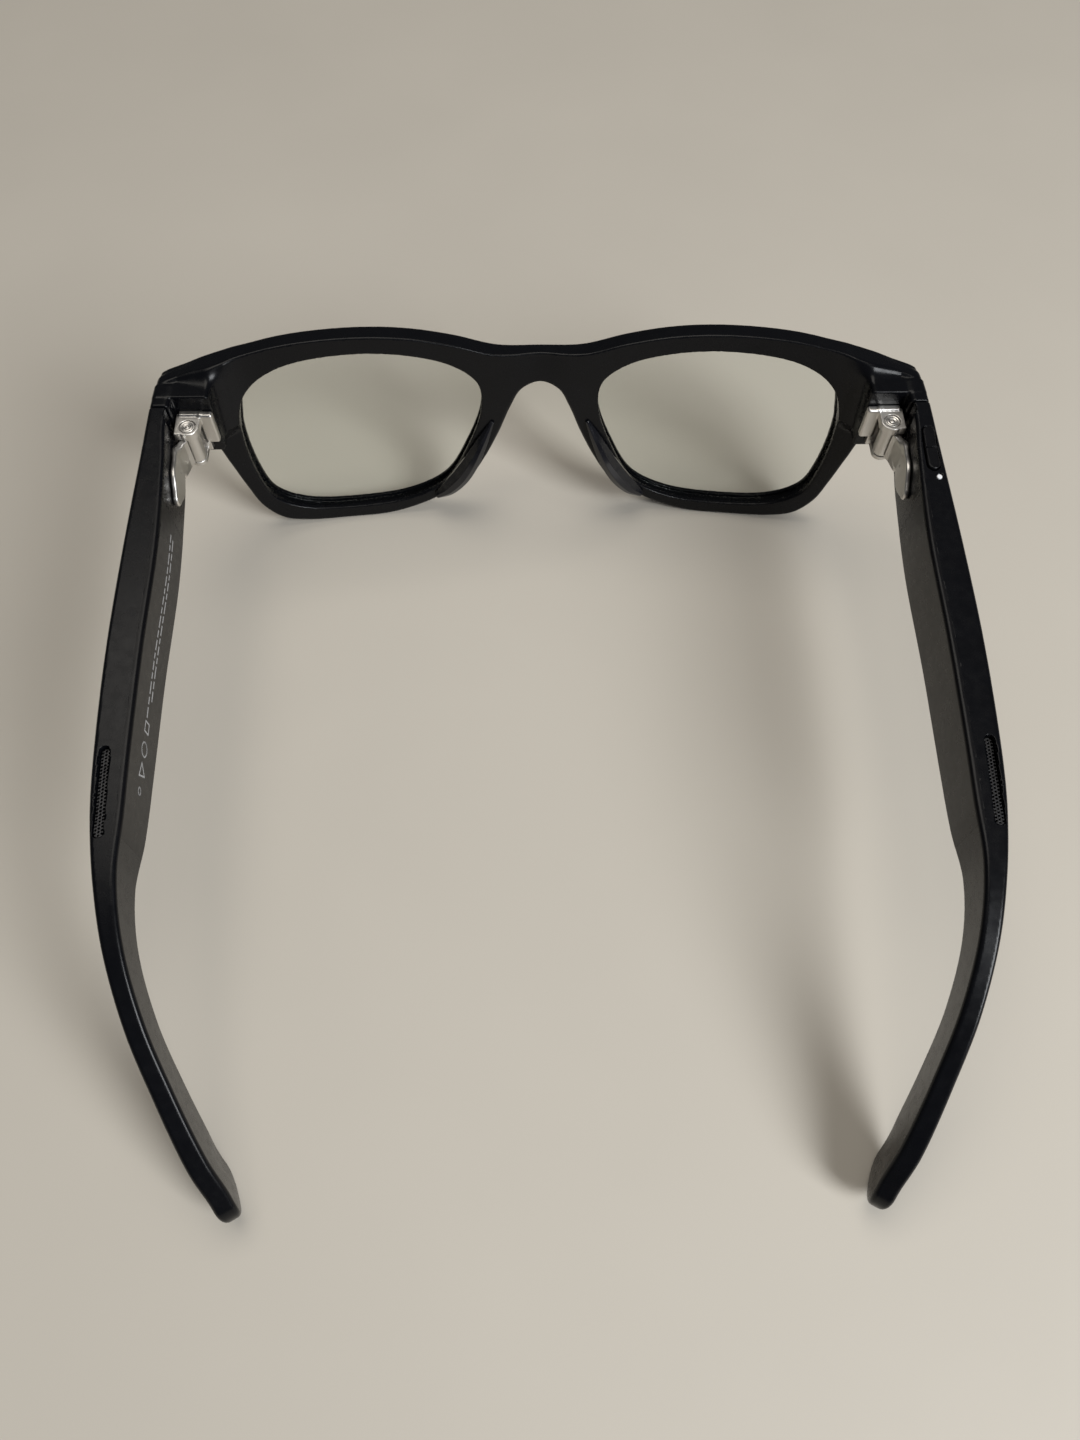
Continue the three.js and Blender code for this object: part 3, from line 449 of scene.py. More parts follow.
def surface(field, low, high, step, skin=None):
    """A closed quad mesh where the field is 0: (points, quads, normals).

    Points outside the skin, or less than SKIN_DEPTH inside it, take the skin's normals.
    """
    low = np.array(low, float) - 2.37 * step
    count = np.ceil((np.array(high) + 2 * step - low) / step / BLOCK).astype(int)
    values = grid_values(field, low, count, step)
    inside = values < 0
    n = np.array(values.shape) - 1
    filled = sum(inside[i : i + n[0], j : j + n[1], k : k + n[2]].astype(np.int8) for i, j, k in CORNERS)
    cells = np.argwhere((filled > 0) & (filled < 8))
    number = np.full(n, -1)
    number[tuple(cells.T)] = np.arange(len(cells))
    total, crossings = np.zeros((len(cells), 3)), np.zeros(len(cells))
    for a, b in EDGES:
        va, vb = values[tuple((cells + CORNERS[a]).T)], values[tuple((cells + CORNERS[b]).T)]
        hit = (va < 0) != (vb < 0)
        share = np.where(hit, va / np.where(hit, va - vb, 1), 0)
        total += (CORNERS[a] + share[:, None] * (CORNERS[b] - CORNERS[a])) * hit[:, None]
        crossings += hit
    points = low + (cells + total / crossings[:, None]) * step

    quads = []
    for axis in range(3):
        b, c = (axis + 1) % 3, (axis + 2) % 3
        unit = np.eye(3, dtype=int)
        first = np.take(inside, range(n[axis]), axis)
        second = np.take(inside, range(1, n[axis] + 1), axis)
        edge = np.argwhere(first != second)
        edge = edge[(edge[:, b] > 0) & (edge[:, c] > 0) & (edge[:, b] < n[b]) & (edge[:, c] < n[c])]
        ring = [edge, edge - unit[b], edge - unit[b] - unit[c], edge - unit[c]]
        quad = np.stack([number[tuple(corner.T)] for corner in ring], 1)
        leaves = first[tuple(edge.T)]
        quads.append(np.where(leaves[:, None], quad, quad[:, ::-1]))
    quads = np.vstack(quads)

    for _ in range(3):
        points = relaxed(points, quads)
        for _ in range(2):
            value, gradient = slope(field, points)
            move = value / np.maximum((gradient**2).sum(1), 0.25)
            points = points - np.clip(move, -step, step)[:, None] * gradient
    gradient = slope(field, points)[1]
    if skin:
        depth, outward = slope(skin, points)
        gradient = np.where((depth > -SKIN_DEPTH)[:, None], outward, gradient)
    return points, quads, gradient / np.maximum(np.linalg.norm(gradient, axis=1), 1e-9)[:, None]


def relaxed(points, quads):
    """Each point moved halfway to the mean of its neighbours."""
    total, count = np.zeros_like(points), np.zeros(len(points))
    for a, b in ((0, 1), (1, 2), (2, 3), (3, 0)):
        for i, j in ((quads[:, a], quads[:, b]), (quads[:, b], quads[:, a])):
            for axis in range(3):
                total[:, axis] += np.bincount(i, points[j, axis], len(points))
            count += np.bincount(i, minlength=len(points))
    return (points + total / np.maximum(count, 1)[:, None]) / 2


def add_piece(name, body, shape, slot, replaces=(), right=False):
    """Puts a mesh (points in mm, faces, normals) on a body, in place of the CAD nodes it replaces."""
    points, faces, normals = shape
    if right:
        points, normals, faces = points * (-1, 1, 1), normals * (-1, 1, 1), [f[::-1] for f in faces]
    mesh = bpy.data.meshes.new(name)
    mesh.from_pydata(((points + TO_FRAME) * 0.001).tolist(), [], [list(map(int, f)) for f in faces])
    mesh.shade_smooth()
    mesh.normals_split_custom_set_from_vertices(normals.tolist())
    piece = bpy.data.objects.new(name, mesh)
    bpy.context.scene.collection.objects.link(piece)
    mesh.materials.append(MATERIALS[slot])
    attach(piece, body)
    if replaces:
        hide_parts(*replaces)


# ---------------------------------------------------------------- front
def wrap(u):
    return WRAP_DEPTH * (np.abs(u) / WRAP_HALF_WIDTH) ** WRAP_POWER


def wrap_slope(u):
    return WRAP_DEPTH * WRAP_POWER / WRAP_HALF_WIDTH * (np.abs(u) / WRAP_HALF_WIDTH) ** (WRAP_POWER - 1)


def on_front(u, w, n):
    """From the flat plate (across, up, towards the wearer) to the standing front."""
    u, w, n = np.broadcast_arrays(u, w, n)
    back = wrap(u) + n
    y = PLATE_Y - w * math.sin(TILT) + back * math.cos(TILT)
    return np.stack([u, y, w * math.cos(TILT) + back * math.sin(TILT)], -1)


def off_front(p):
    """The way back from on_front(), for the left side: (across, up, depth, shrink of depth by the wrap)."""
    u = np.abs(p[:, 0])
    dy = p[:, 1] - PLATE_Y
    w = p[:, 2] * math.cos(TILT) - dy * math.sin(TILT)
    n = p[:, 2] * math.sin(TILT) + dy * math.cos(TILT) - wrap(u)
    return u, w, n, 1 / np.sqrt(1 + wrap_slope(u) ** 2)


def mirrored(p):
    """The points, with the right side's brought over to the left."""
    return np.stack([np.abs(p[:, 0]), p[:, 1], p[:, 2]], 1)


def front_outlines():
    opening = smooth_curve(OPENING, closed=True)
    top = smooth_curve([(-u, w) for u, w in TOP_EDGE[:0:-1]] + TOP_EDGE)
    top = top[top[:, 0] >= 0]
    lower = smooth_curve(LOWER_EDGE + [(-u, w) for u, w in LOWER_EDGE[-2::-1]])
    lower = lower[lower[:, 0] >= 0]
    outer = np.vstack([(-20, 41), top, END_EDGE, lower, (-20, 34.3)])
    return Outline(outer, (-2, -4), (77, 50)), Outline(opening, (-2, -4), (77, 50)), opening


BROW_ROUTE = [(0, 38.2), (8, 38.8), (17, 41.2), (26, 43.4), (38, 44.35), (50, 43.9), (60, 42.9), (66, 41.2)]
TUNNEL_END = [on_front(66.0, 41.2, 0.0), (69.4, -7.0, 40.6), (71.2, -3.5, 39.8), (71.5, 1.0, 39.5)]
TUNNEL_RADIUS = 0.85
# the two round windows: place, radius, depth of the recess, and the room behind (half width, back)
EYE_U, EYE_W, EYE_RADIUS, EYE_FLOOR = 66.6, 35.2, 3.4, -1.25
CAMERA_ROOM, BOARD_ROOM = (2.05, -4.9), (2.2, -2.9)
# the block behind each end of the plate, at the plate, and how far its faces have spread at the seat
BLOCK_Y, BLOCK_LENGTH = -12, 9.7
BLOCK_X, BLOCK_Z = (62.9, 72.2), (28.5, 42.7)
SPREAD_X, SPREAD_Z = (0.3, 0.9), (0.3, 0.25)
# the line that the top of the block stays under: a point on it, and its fall per mm outboard
BROW_TOP_U, BROW_TOP_W, BROW_TOP_FALL = 62, 43.84, 0.178
# holes up into the bridge from below: distance across, radius, depth
BRIDGE_FOOT = 34.0
BRIDGE_HOLES = ((2.0, 0.76, 1.5), (0.0, 0.8, 2.2))


def eye_axes():
    """Centre of a window on the outer face of the left endpiece, and its across, up and outward axes."""
    centre = on_front(EYE_U, EYE_W, -PLATE_HALF)
    across = on_front(EYE_U + 1, EYE_W, -PLATE_HALF) - on_front(EYE_U - 1, EYE_W, -PLATE_HALF)
    up = on_front(EYE_U, EYE_W + 1, -PLATE_HALF) - centre
    across, up = across / np.linalg.norm(across), up / np.linalg.norm(up)
    return centre, np.stack([across, up, np.cross(across, up)])


EYE_CENTRE, EYE_AXES = eye_axes()


def eye_pocket(p):
    """The window's recess, and behind it room for the camera on the left and the light board on the right."""
    q = (mirrored(p) - EYE_CENTRE) @ EYE_AXES.T
    recess = round_and(np.hypot(q[:, 0], q[:, 1]) - EYE_RADIUS - 0.08, EYE_FLOOR - q[:, 2], 0.05)
    camera, board = (box_field(q, (-half, -half, back), (half, half, EYE_FLOOR + 0.2), 0.1)
                     for half, back in (CAMERA_ROOM, BOARD_ROOM))
    return np.minimum(recess, np.where(p[:, 0] > 0, camera, board))


def endpiece(p, n):
    """The block that runs back to the bracket's seat, and the flank outside it that reaches the seam."""
    x, y, z = np.abs(p[:, 0]), p[:, 1], p[:, 2]
    share = np.clip((y - BLOCK_Y) / BLOCK_LENGTH, 0, 1.1)
    sides = np.maximum(BLOCK_X[0] - SPREAD_X[0] * share - x, x - BLOCK_X[1] - SPREAD_X[1] * share)
    levels = np.maximum(BLOCK_Z[0] - SPREAD_Z[0] * share - z, z - BLOCK_Z[1] - SPREAD_Z[1] * share)
    bar = round_and(sides, levels, 0.9)
    seat = round_and(round_and(bar, y - SEAT_Y, 0.35), -n, 0.3)
    flank = round_and(slab(x, 69.7 + 0.02 * y, 73.3 + 0.04 * y), slab(z, 28.2, 43.0), 0.9)
    flank = round_and(flank, slab(y, -5.5, -SEAM), 0.25)
    return seat, flank


def front_field(p):
    u, w, n, squeeze = off_front(p)
    outer, opening = OUTER(u, w) + FRONT_SHRINK, OPENED(u, w)
    saddle = 0.9 * np.exp(-((u / 5.5) ** 2)) * np.clip((w - 28) / 12, 0, 1) ** 2
    rear = (n - PLATE_HALF + saddle) * squeeze
    fore = (-n - PLATE_HALF) * squeeze
    crisp = np.clip((w - 30) / 8, 0, 1)
    plate = round_and(outer, rear, 0.85 - 0.4 * crisp)
    plate = round_and(plate, fore, 0.8)
    plate = round_and(plate, round_and(round_and(-opening, rear, 0.35), fore, 0.45), 0.05)
    sides = slab(n, -LENS_HALF + GROOVE_GRIP, LENS_HALF - GROOVE_GRIP)
    groove = round_and(sides, opening - GROOVE_DEPTH, 0.2)
    seat, flank = endpiece(p, n)
    join = 1.0 + np.clip(8 - (u - 60) * 0.9, 0, 8) * np.clip((p[:, 2] - 27) / 4, 0, 1)
    brow_top = np.maximum((w - BROW_TOP_W + (u - BROW_TOP_U) * BROW_TOP_FALL) * 0.985,
                          outer - 3 * np.clip((38 - w) / 4, 0, 1) - 3 * np.clip((u - 67) / 3, 0, 1))
    body = round_and(round_and(merge(plate, seat, join), brow_top, 0.45), fore, 0.6)
    body = merge(body, flank, 0.5)
    body = round_and(body, -opening, 0.3)
    body = cut(body, groove, 0.05)
    body = cut(body, eye_pocket(p), 0.12)
    route = np.hypot(BROW(u, w), n) - TUNNEL_RADIUS
    for start, end in zip(TUNNEL_END, TUNNEL_END[1:]):
        route = np.minimum(route, capsule(mirrored(p), start, end, TUNNEL_RADIUS))
    body = cut(body, route, 0.05)
    _, y, z = on_front(0.0, BRIDGE_FOOT, 0.0)
    for across, radius, depth in BRIDGE_HOLES:
        hole = post_field(mirrored(p), across, y, z - 3, z + depth, radius, 0.1)
        body = cut(body, hole, 0.12)
    return round_and(body, FOOT_TRIM - p[:, 2], 0.1)


LENS_RINGS = 20


def lens_shape(outline):
    """A curved lens: rings of the rim's outline, shrunk towards the middle, on a front and a rear face."""
    polygon = outline[::2]
    along = np.roll(polygon, -1, 0) - np.roll(polygon, 1, 0)
    along /= np.linalg.norm(along, axis=1)[:, None]
    outward = np.stack([along[:, 1], -along[:, 0]], 1)
    hub = polygon.mean(0)
    rings, normals = [], []
    flush = LENS_OVERLAP - LENS_CHAMFER
    levels = [(flush, LENS_HALF, 1.0), (LENS_OVERLAP, LENS_HALF - LENS_CHAMFER, 1.0),
              (LENS_OVERLAP, -LENS_HALF + LENS_CHAMFER, 1.0), (flush, -LENS_HALF, 1.0)]
    shrink = [1 - (i / LENS_RINGS) for i in range(1, LENS_RINGS)]
    rear = [(flush, LENS_HALF, share) for share in reversed(shrink)]
    front = [(flush, -LENS_HALF, share) for share in shrink]
    for grow, n, share in rear + levels + front:
        flat = hub + (polygon + outward * grow - hub) * share
        rings.append(on_front(flat[:, 0], flat[:, 1], n))
        face = np.stack([-wrap_slope(flat[:, 0]), np.full(len(flat), 0.0), np.ones(len(flat))], 1)
        face /= np.linalg.norm(face, axis=1)[:, None]
        side = np.stack([outward[:, 0], outward[:, 1], np.zeros(len(flat))], 1)
        lean = np.sign(n) if abs(n) == LENS_HALF else 0
        local = face * lean if lean else side
        normals.append(tilted(local))
    count = len(polygon)
    points = np.vstack([*rings, on_front(hub[0], hub[1], LENS_HALF), on_front(hub[0], hub[1], -LENS_HALF)])
    pole = np.array([-wrap_slope(hub[0]), 0, 1]) / math.hypot(1, wrap_slope(hub[0]))
    normals = np.vstack([*normals, tilted(pole[None]), tilted(-pole[None])])
    faces = []
    for i in range(count):
        after = (i + 1) % count
        for r in range(len(rings) - 1):
            faces.append([r * count + i, (r + 1) * count + i, (r + 1) * count + after, r * count + after])
        faces.append([len(rings) * count, i, after])
        last = (len(rings) - 1) * count
        faces.append([last + i, len(rings) * count + 1, last + after])
    return points, faces, normals


def tilted(local):
    """Directions (across, up, back) on the flat plate, tilted like the front."""
    u, w, n = local.T
    return np.stack([u, n * math.cos(TILT) - w * math.sin(TILT), w * math.cos(TILT) + n * math.sin(TILT)], 1)


# nose pad: across, up, width, depth along its line
PAD = [
    (9.7, 25, 1.0, 0.5), (11.6, 20.6, 2.6, 2.2), (13.9, 15.6, 3.8, 3.3), (16.4, 11.4, 4.2, 3.5),
    (19.4, 7.8, 3.6, 2.8), (22.4, 5.2, 1.6, 1.2),
]
PAD_SECTION = [(-0.32, 0), (0.5, 0), (0.55, 0.3), (0.3, 0.85), (0.05, 1.0), (-0.25, 0.75)]
PAD_FOOT = PLATE_HALF + 0.02
PAD_STOPS = 72


def rounded_polygon(corners, radius, steps=4):
    """A convex anticlockwise outline with each corner replaced by an arc."""
    corners = np.array(corners, float)
    edges = np.roll(corners, -1, 0) - corners
    normals = np.stack([edges[:, 1], -edges[:, 0]], 1) / np.linalg.norm(edges, axis=1)[:, None]
    result = []
    for corner, before, after in zip(corners, np.roll(normals, 1, 0), normals):
        middle = corner - (before + after) * radius / (1 + before @ after)
        start = math.atan2(before[1], before[0])
        turn = math.atan2(before[0] * after[1] - before[1] * after[0], before @ after)
        for i in range(steps + 1):
            angle = start + turn * i / steps
            result.append(middle + radius * np.array([math.cos(angle), math.sin(angle)]))
    return np.array(result)


def pad_shape():
    """A leaf with a six-sided section, lofted along its line behind the nose edge of the rim."""
    rows, ways = PAD_TRACK.at(np.linspace(0, PAD_TRACK.length, PAD_STOPS))
    rings = []
    for (u, w, width, depth), (du, dw) in zip(rows, ways):
        section = [(across * width, back * depth) for across, back in PAD_SECTION]
        ring = rounded_polygon(section, min(0.2, 0.12 * width, 0.2 * depth))
        rings.append(on_front(u - dw * ring[:, 0], w + du * ring[:, 0], PAD_FOOT + ring[:, 1]))
    return lofted(rings)


def lofted(rings):
    """A closed mesh through rings of equal length, with a point in the middle of each end."""
    count = len(rings[0])
    points = np.vstack([*rings, rings[0].mean(0), rings[-1].mean(0)])
    faces = []
    for r in range(len(rings) - 1):
        for i in range(count):
            j = (i + 1) % count
            faces.append([r * count + i, r * count + j, (r + 1) * count + j, (r + 1) * count + i])
    last, tips = (len(rings) - 1) * count, len(rings) * count
    for i in range(count):
        j = (i + 1) % count
        faces.append([tips, j, i])
        faces.append([tips + 1, last + i, last + j])
    normals = np.zeros_like(points)
    volume = 0.0
    for face in faces:
        a, b, c, d = (points[face[k]] for k in (0, 1, 2, -1))
        area = np.cross(c - a, d - b) if len(face) == 4 else np.cross(b - a, c - a)
        normals[face] += area
        volume += area @ (a - points[0])
    if volume < 0:
        faces, normals = [face[::-1] for face in faces], -normals
    return points, faces, normals / np.maximum(np.linalg.norm(normals, axis=1), 1e-12)[:, None]


# ---------------------------------------------------------------- temples
def temple_frame(p):
    """Where points lie in the temple: s along it, a outboard and b up from its spine, past beyond its end."""
    s = SPINE.nearest(p, 1)
    row, way = SPINE.at(s)
    out = np.stack([way[:, 1], -way[:, 0], np.zeros(len(p))], 1)
    out /= np.linalg.norm(out, axis=1)[:, None]
    up = np.cross(out, way)
    away = p - row[:, :3]
    return {
        "s": s, "a": (away * out).sum(1), "b": (away * up).sum(1), "past": np.maximum((away * way).sum(1), 0),
        "height": row[:, 3], "thick": row[:, 4],
    }


TEMPLE_EDGE = 0.75
TIP_Y = 100
TIP_SLIMMING, TIP_SHORTENING = 0.45, 1.14


def temple_form(at, p):
    """The temple's outer form, before anything is cut from it."""
    radius = at["height"] / 2
    past = np.where(at["s"] > SPINE.length - 0.01, at["past"], 0)
    slim = 1 - TIP_SLIMMING * np.clip(past / radius, 0, 1) ** 2
    b = np.hypot(at["b"], past * TIP_SHORTENING)
    form = rectangle(at["a"], b, at["thick"] / 2 * slim, radius, TEMPLE_EDGE)
    form = round_and(form, SEAM - p[:, 1], 0.2)
    return np.where(p[:, 1] > TIP_Y, round_and(form, FOOT_TRIM - p[:, 2], 0.1), form)


def temple_skin(p):
    return temple_form(temple_frame(p), p)


def length_at(y):
    return float(np.interp(y, SPINE.rows[:, 1], SPINE.s))


def pill(at, start, end, width, offset):
    """A round-ended slot outline on the top or underside, between two distances behind the seam."""
    radius = width / 2
    low, high = length_at(start) + radius, length_at(end) - radius
    return np.hypot(at["s"] - np.clip(at["s"], low, high), at["a"] - offset) - radius


def cover_region(at, grow):
    start, end, thick = COVER
    side = at["a"] + at["thick"] / 2 - thick - grow
    return np.maximum(side, slab(at["s"], length_at(start) - grow, length_at(end) + grow))


VENT_DEPTH = 2.4
NOTCH_RADIUS, NOTCH_FLOOR = 3.36, 37.2


def shell_field(p, tools):
    at = temple_frame(p)
    form = temple_form(at, p)
    body = cut(form, cover_region(at, -COVER_LAP), 0.1)
    hollow = np.maximum(slab(at["a"], -at["thick"] / 2 + WALL_INBOARD, at["thick"] / 2 - WALL_OUTBOARD),
                        slab(at["b"], -at["height"] / 2 + WALL_EDGE, at["height"] / 2 - WALL_EDGE))
    body = cut(body, np.maximum(hollow, slab(at["s"], length_at(CAVITY[0]), length_at(CAVITY[1]))), 0.1)
    vent = np.maximum(pill(at, *VENT), at["height"] / 2 - VENT_DEPTH - at["b"])
    body = cut(body, vent, 0.12)
    disc = np.hypot(p[:, 0] - HINGE_X, p[:, 1] - HINGE_Y) - NOTCH_RADIUS
    body = cut(body, np.maximum(disc, NOTCH_FLOOR - p[:, 2]), 0.15)
    for tool in tools:
        body = cut(body, tool(at), 0.12)
    return body


def cover_field(p):
    at = temple_frame(p)
    return round_and(temple_form(at, p) - COVER_PROUD, cover_region(at, 0), 0.1)


def top_of(y):
    """Half the height of the temple's section at a distance behind the seam."""
    return float(SPINE.at(np.array([length_at(y)]))[0][0, 3]) / 2


def spot_on_temple(s, a, b):
    """The point at a length along the temple with offsets outboard and up."""
    row, way = SPINE.at(np.array([s]))
    out = np.array([way[0, 1], -way[0, 0], 0]) / math.hypot(way[0, 0], way[0, 1])
    return row[0, :3] + out * a + np.cross(out, way[0]) * b


def near_temple(start, end):
    """Corners of a box round a stretch of the temple."""
    spots = np.array([spot_on_temple(s, 0, 0) for s in np.linspace(length_at(start), length_at(end), 12)])
    margin = np.array([4.5, 1.5, 9.0])
    return spots.min(0) - margin, spots.max(0) + margin


def button_pocket(at):
    outline = pill(at, BUTTON[0], BUTTON[1], BUTTON[2] + 0.3, BUTTON[3])
    return np.maximum(outline, top_of(BUTTON_Y) - 3.9 - at["b"])


def light_bore(at):
    outline = pill(at, LIGHT[0] - 0.08, LIGHT[1] + 0.08, LIGHT[2] + 0.16, LIGHT[3])
    return np.maximum(outline, top_of(LIGHT_Y) - 2 - at["b"])


def switch_slot(at):
    outline = pill(at, SWITCH[0], SWITCH[1], SWITCH[2] + 0.3, SWITCH[3])
    return np.maximum(outline, at["b"] + top_of(SWITCH_Y) - 1.9)


def button_field(p):
    at = temple_frame(p)
    top = top_of(BUTTON_Y)
    outline = pill(at, BUTTON[0] + 0.15, BUTTON[1] - 0.15, BUTTON[2], BUTTON[3])
    body = round_and(outline, slab(at["b"], top - 2.4, top + 0.3), 0.3)
    ridge = np.abs(at["s"] - length_at(BUTTON_Y)) - 0.12
    return cut(body, np.maximum(ridge, top + 0.2 - at["b"]), 0.05)


# the status light window behind the button; its pale grey is partly a painted highlight in place of a glint
# on the temple's top
def light_field(p):
    at = temple_frame(p)
    top = top_of(LIGHT_Y)
    return round_and(pill(at, *LIGHT), slab(at["b"], top - 1.7, top + 0.04), 0.15)


def switch_field(p):
    at = temple_frame(p)
    low = -top_of(SWITCH_Y)
    start = SWITCH[0] + 0.3
    outline = pill(at, start, start + 3.6, SWITCH[2], SWITCH[3])
    body = round_and(outline, slab(at["b"], low - 0.4, low + 1.6), 0.25)
    for i in (-1, 0, 1):
        rib = np.abs(at["s"] - length_at(start + 1.8) - 0.7 * i) - 0.14
        body = cut(body, np.maximum(rib, at["b"] - low + 0.22), 0.05)
    return body


def mesh_field(p):
    """The grille at the bottom of the vent, with staggered holes."""
    at = temple_frame(p)
    top = top_of((VENT[0] + VENT[1]) / 2)
    body = round_and(pill(at, VENT[0] + 0.1, VENT[1] - 0.1, VENT[2] - 0.2, VENT[3]),
                     slab(at["b"], top - 1.35, top - 0.75), 0.08)
    pitch = 0.6
    row = np.round((at["a"] - VENT[3]) / (pitch * 0.87))
    along = at["s"] - length_at(VENT[0]) + np.mod(row, 2) * pitch / 2
    hole = np.hypot(along - pitch * np.round(along / pitch), at["a"] - VENT[3] - row * pitch * 0.87) - 0.17
    return cut(body, hole, 0.04)


def print_marks():
    """Generic marks printed on the inner face of the left cover: two broken rules and a few plain shapes."""
    points, faces = [], []
    lift = 0.02

    def strip(path, width, closed=False):
        path = np.array(path, float)
        ends = np.roll(path, -1, 0) if closed else path[1:]
        for (s0, b0), (s1, b1) in zip(path if closed else path[:-1], ends):
            way = np.array([s1 - s0, b1 - b0])
            way = way / np.linalg.norm(way) * width / 2
            side = np.array([-way[1], way[0]])
            ring = [(s0, b0) - way - side, (s1, b1) + way - side,
                    (s1, b1) + way + side, (s0, b0) - way + side]
            first = len(points)
            for depth in (lift, 0.0):
                for s, b in ring:
                    thick = SPINE.at(np.array([s]))[0][0, 4]
                    points.append(spot_on_temple(s, -thick / 2 - depth, b))
            faces.append([first + 3, first + 2, first + 1, first])
            faces.append([first + 4, first + 5, first + 6, first + 7])
            for i in range(4):
                j = (i + 1) % 4
                faces.append([first + i, first + j, first + 4 + j, first + 4 + i])

    start = length_at(24)
    lengths = [1.3, 0.8, 2.0, 1.0, 1.6, 0.7]
    for row, b, end in ((0, 0.55, 60), (1, -0.75, 57)):
        s, i = start + row * 0.4, row * 2
        while s < length_at(end):
            run = lengths[i % len(lengths)]
            strip([(s, b), (s + run, b)], 0.42)
            s, i = s + run + 0.95, i + 1
    for centre, sides, radius in ((62.5, 4, 1.3), (66.5, 24, 1.25), (70.5, 3, 1.5), (74.0, 24, 0.6)):
        middle = length_at(centre)
        turn = [2 * math.pi * k / sides + math.pi / 4 for k in range(sides)]
        strip([(middle + radius * math.cos(t), radius * math.sin(t)) for t in turn], 0.3, closed=True)
    points = np.array(points)
    normals = np.tile([-1.0, 0.0, 0.0], (len(points), 1))
    return points, faces, normals


# ---------------------------------------------------------------- hinges
EAR_TOP = HINGE_TOP + 0.2
EAR_LOW = HINGE_TOP - 1.5
LOWER_EAR_TOP = HINGE_BOTTOM + 1.0
SCREW_BORE = 0.75


def bracket_field(p):
    """The frame's half: a stepped plate on the endpiece with an ear above and an ear below the barrel."""
    x, y, z = p.T
    inboard = box_field(p, (62.6, SEAT_Y + 0.03, 32.2), (65.35, -0.75, HINGE_TOP + 0.55), 0.5)
    plate = box_field(p, (64.6, SEAT_Y + 0.03, HINGE_BOTTOM), (68.9, -1.1, HINGE_TOP + 0.55), 0.2)
    body = merge(inboard, plate, 0.4)
    disc = np.hypot(x - HINGE_X, y - HINGE_Y)
    root = np.maximum(slab(x, 64.85, 69.4), slab(y, -1.8, HINGE_Y))
    corner = rectangle(x - 68.2, y - 1.6, 1.2, 1.7, 0.25)
    ear = round_and(np.minimum(np.minimum(disc - 2.2, root), corner), slab(z, EAR_LOW, EAR_TOP), 0.18)
    root = np.maximum(slab(x, HINGE_X - BARREL, HINGE_X + BARREL), slab(y, -1.8, HINGE_Y))
    lower = round_and(np.minimum(disc - BARREL, root), slab(z, HINGE_BOTTOM, LOWER_EAR_TOP), 0.18)
    body = merge(body, np.minimum(ear, lower), 0.3)
    body = cut(body, np.maximum(disc - 1.55, EAR_TOP - 0.28 - z), 0.06)
    return cut(body, disc - SCREW_BORE, 0.05)


def leaf_field(p):
    """The temple's half: barrel, arm, and a teardrop plate lying on the temple's inner face."""
    x, y, z = p.T
    low, high = LOWER_EAR_TOP + 0.12, EAR_LOW - 0.12
    disc = np.hypot(x - HINGE_X, y - HINGE_Y)
    barrel = round_and(disc - BARREL, slab(z, low, high), 0.22)
    flat = np.stack([x, y], 1)
    elbow = (68.35, 3.9)
    arm = np.minimum(capsule(flat, (67.2, 2.0), elbow, 0.62), capsule(flat, elbow, (69.0, 6.4), 0.6))
    arm = round_and(arm, slab(z, low, high), 0.25)
    at = temple_frame(p)
    start = length_at(5.0)
    outline = merge(tapered_capsule(at["s"] - start, at["b"] - 0.1, 2.2, 2.9, 6.4, 3.4),
                    tapered_capsule(at["s"] - start, at["b"] - 0.1, 6.4, 3.4, 10.3, 1.5), 0.6)
    face = -at["thick"] / 2
    plate = round_and(outline, slab(at["a"], face - 1.05, face - 0.05), 0.4)
    dimple = np.hypot(np.hypot(at["s"] - start - 4.3, at["b"] - 0.2), at["a"] - face + 1.35) - 0.5
    body = cut(merge(arm, plate, 1.3), dimple, 0.05)
    split = np.maximum(np.maximum(np.abs(disc - BARREL - 0.1) - 0.1, 2.2 - y), x - 68.25)
    body = cut(np.minimum(barrel, body), split, 0.03)
    return cut(body, disc - SCREW_BORE, 0.05)


def screw_shape():
    """Turned screw: a thin head with concentric rings over the pin."""
    head = EAR_TOP - 0.24
    profile = [
        (0.0, HINGE_BOTTOM + 0.2), (0.6, HINGE_BOTTOM + 0.2), (0.65, HINGE_BOTTOM + 0.25), (0.65, head),
        (1.38, head), (1.42, head + 0.04), (1.42, head + 0.17), (1.36, head + 0.22), (1.12, head + 0.22),
        (1.06, head + 0.15), (0.98, head + 0.15), (0.92, head + 0.22), (0.7, head + 0.22),
        (0.62, head + 0.12), (0.45, head + 0.1), (0.32, head + 0.12), (0.25, head + 0.2),
        (0.14, head + 0.24), (0.0, head + 0.25),
    ]
    return turned(profile, np.array([HINGE_X, HINGE_Y, 0.0]), np.eye(3), 64)


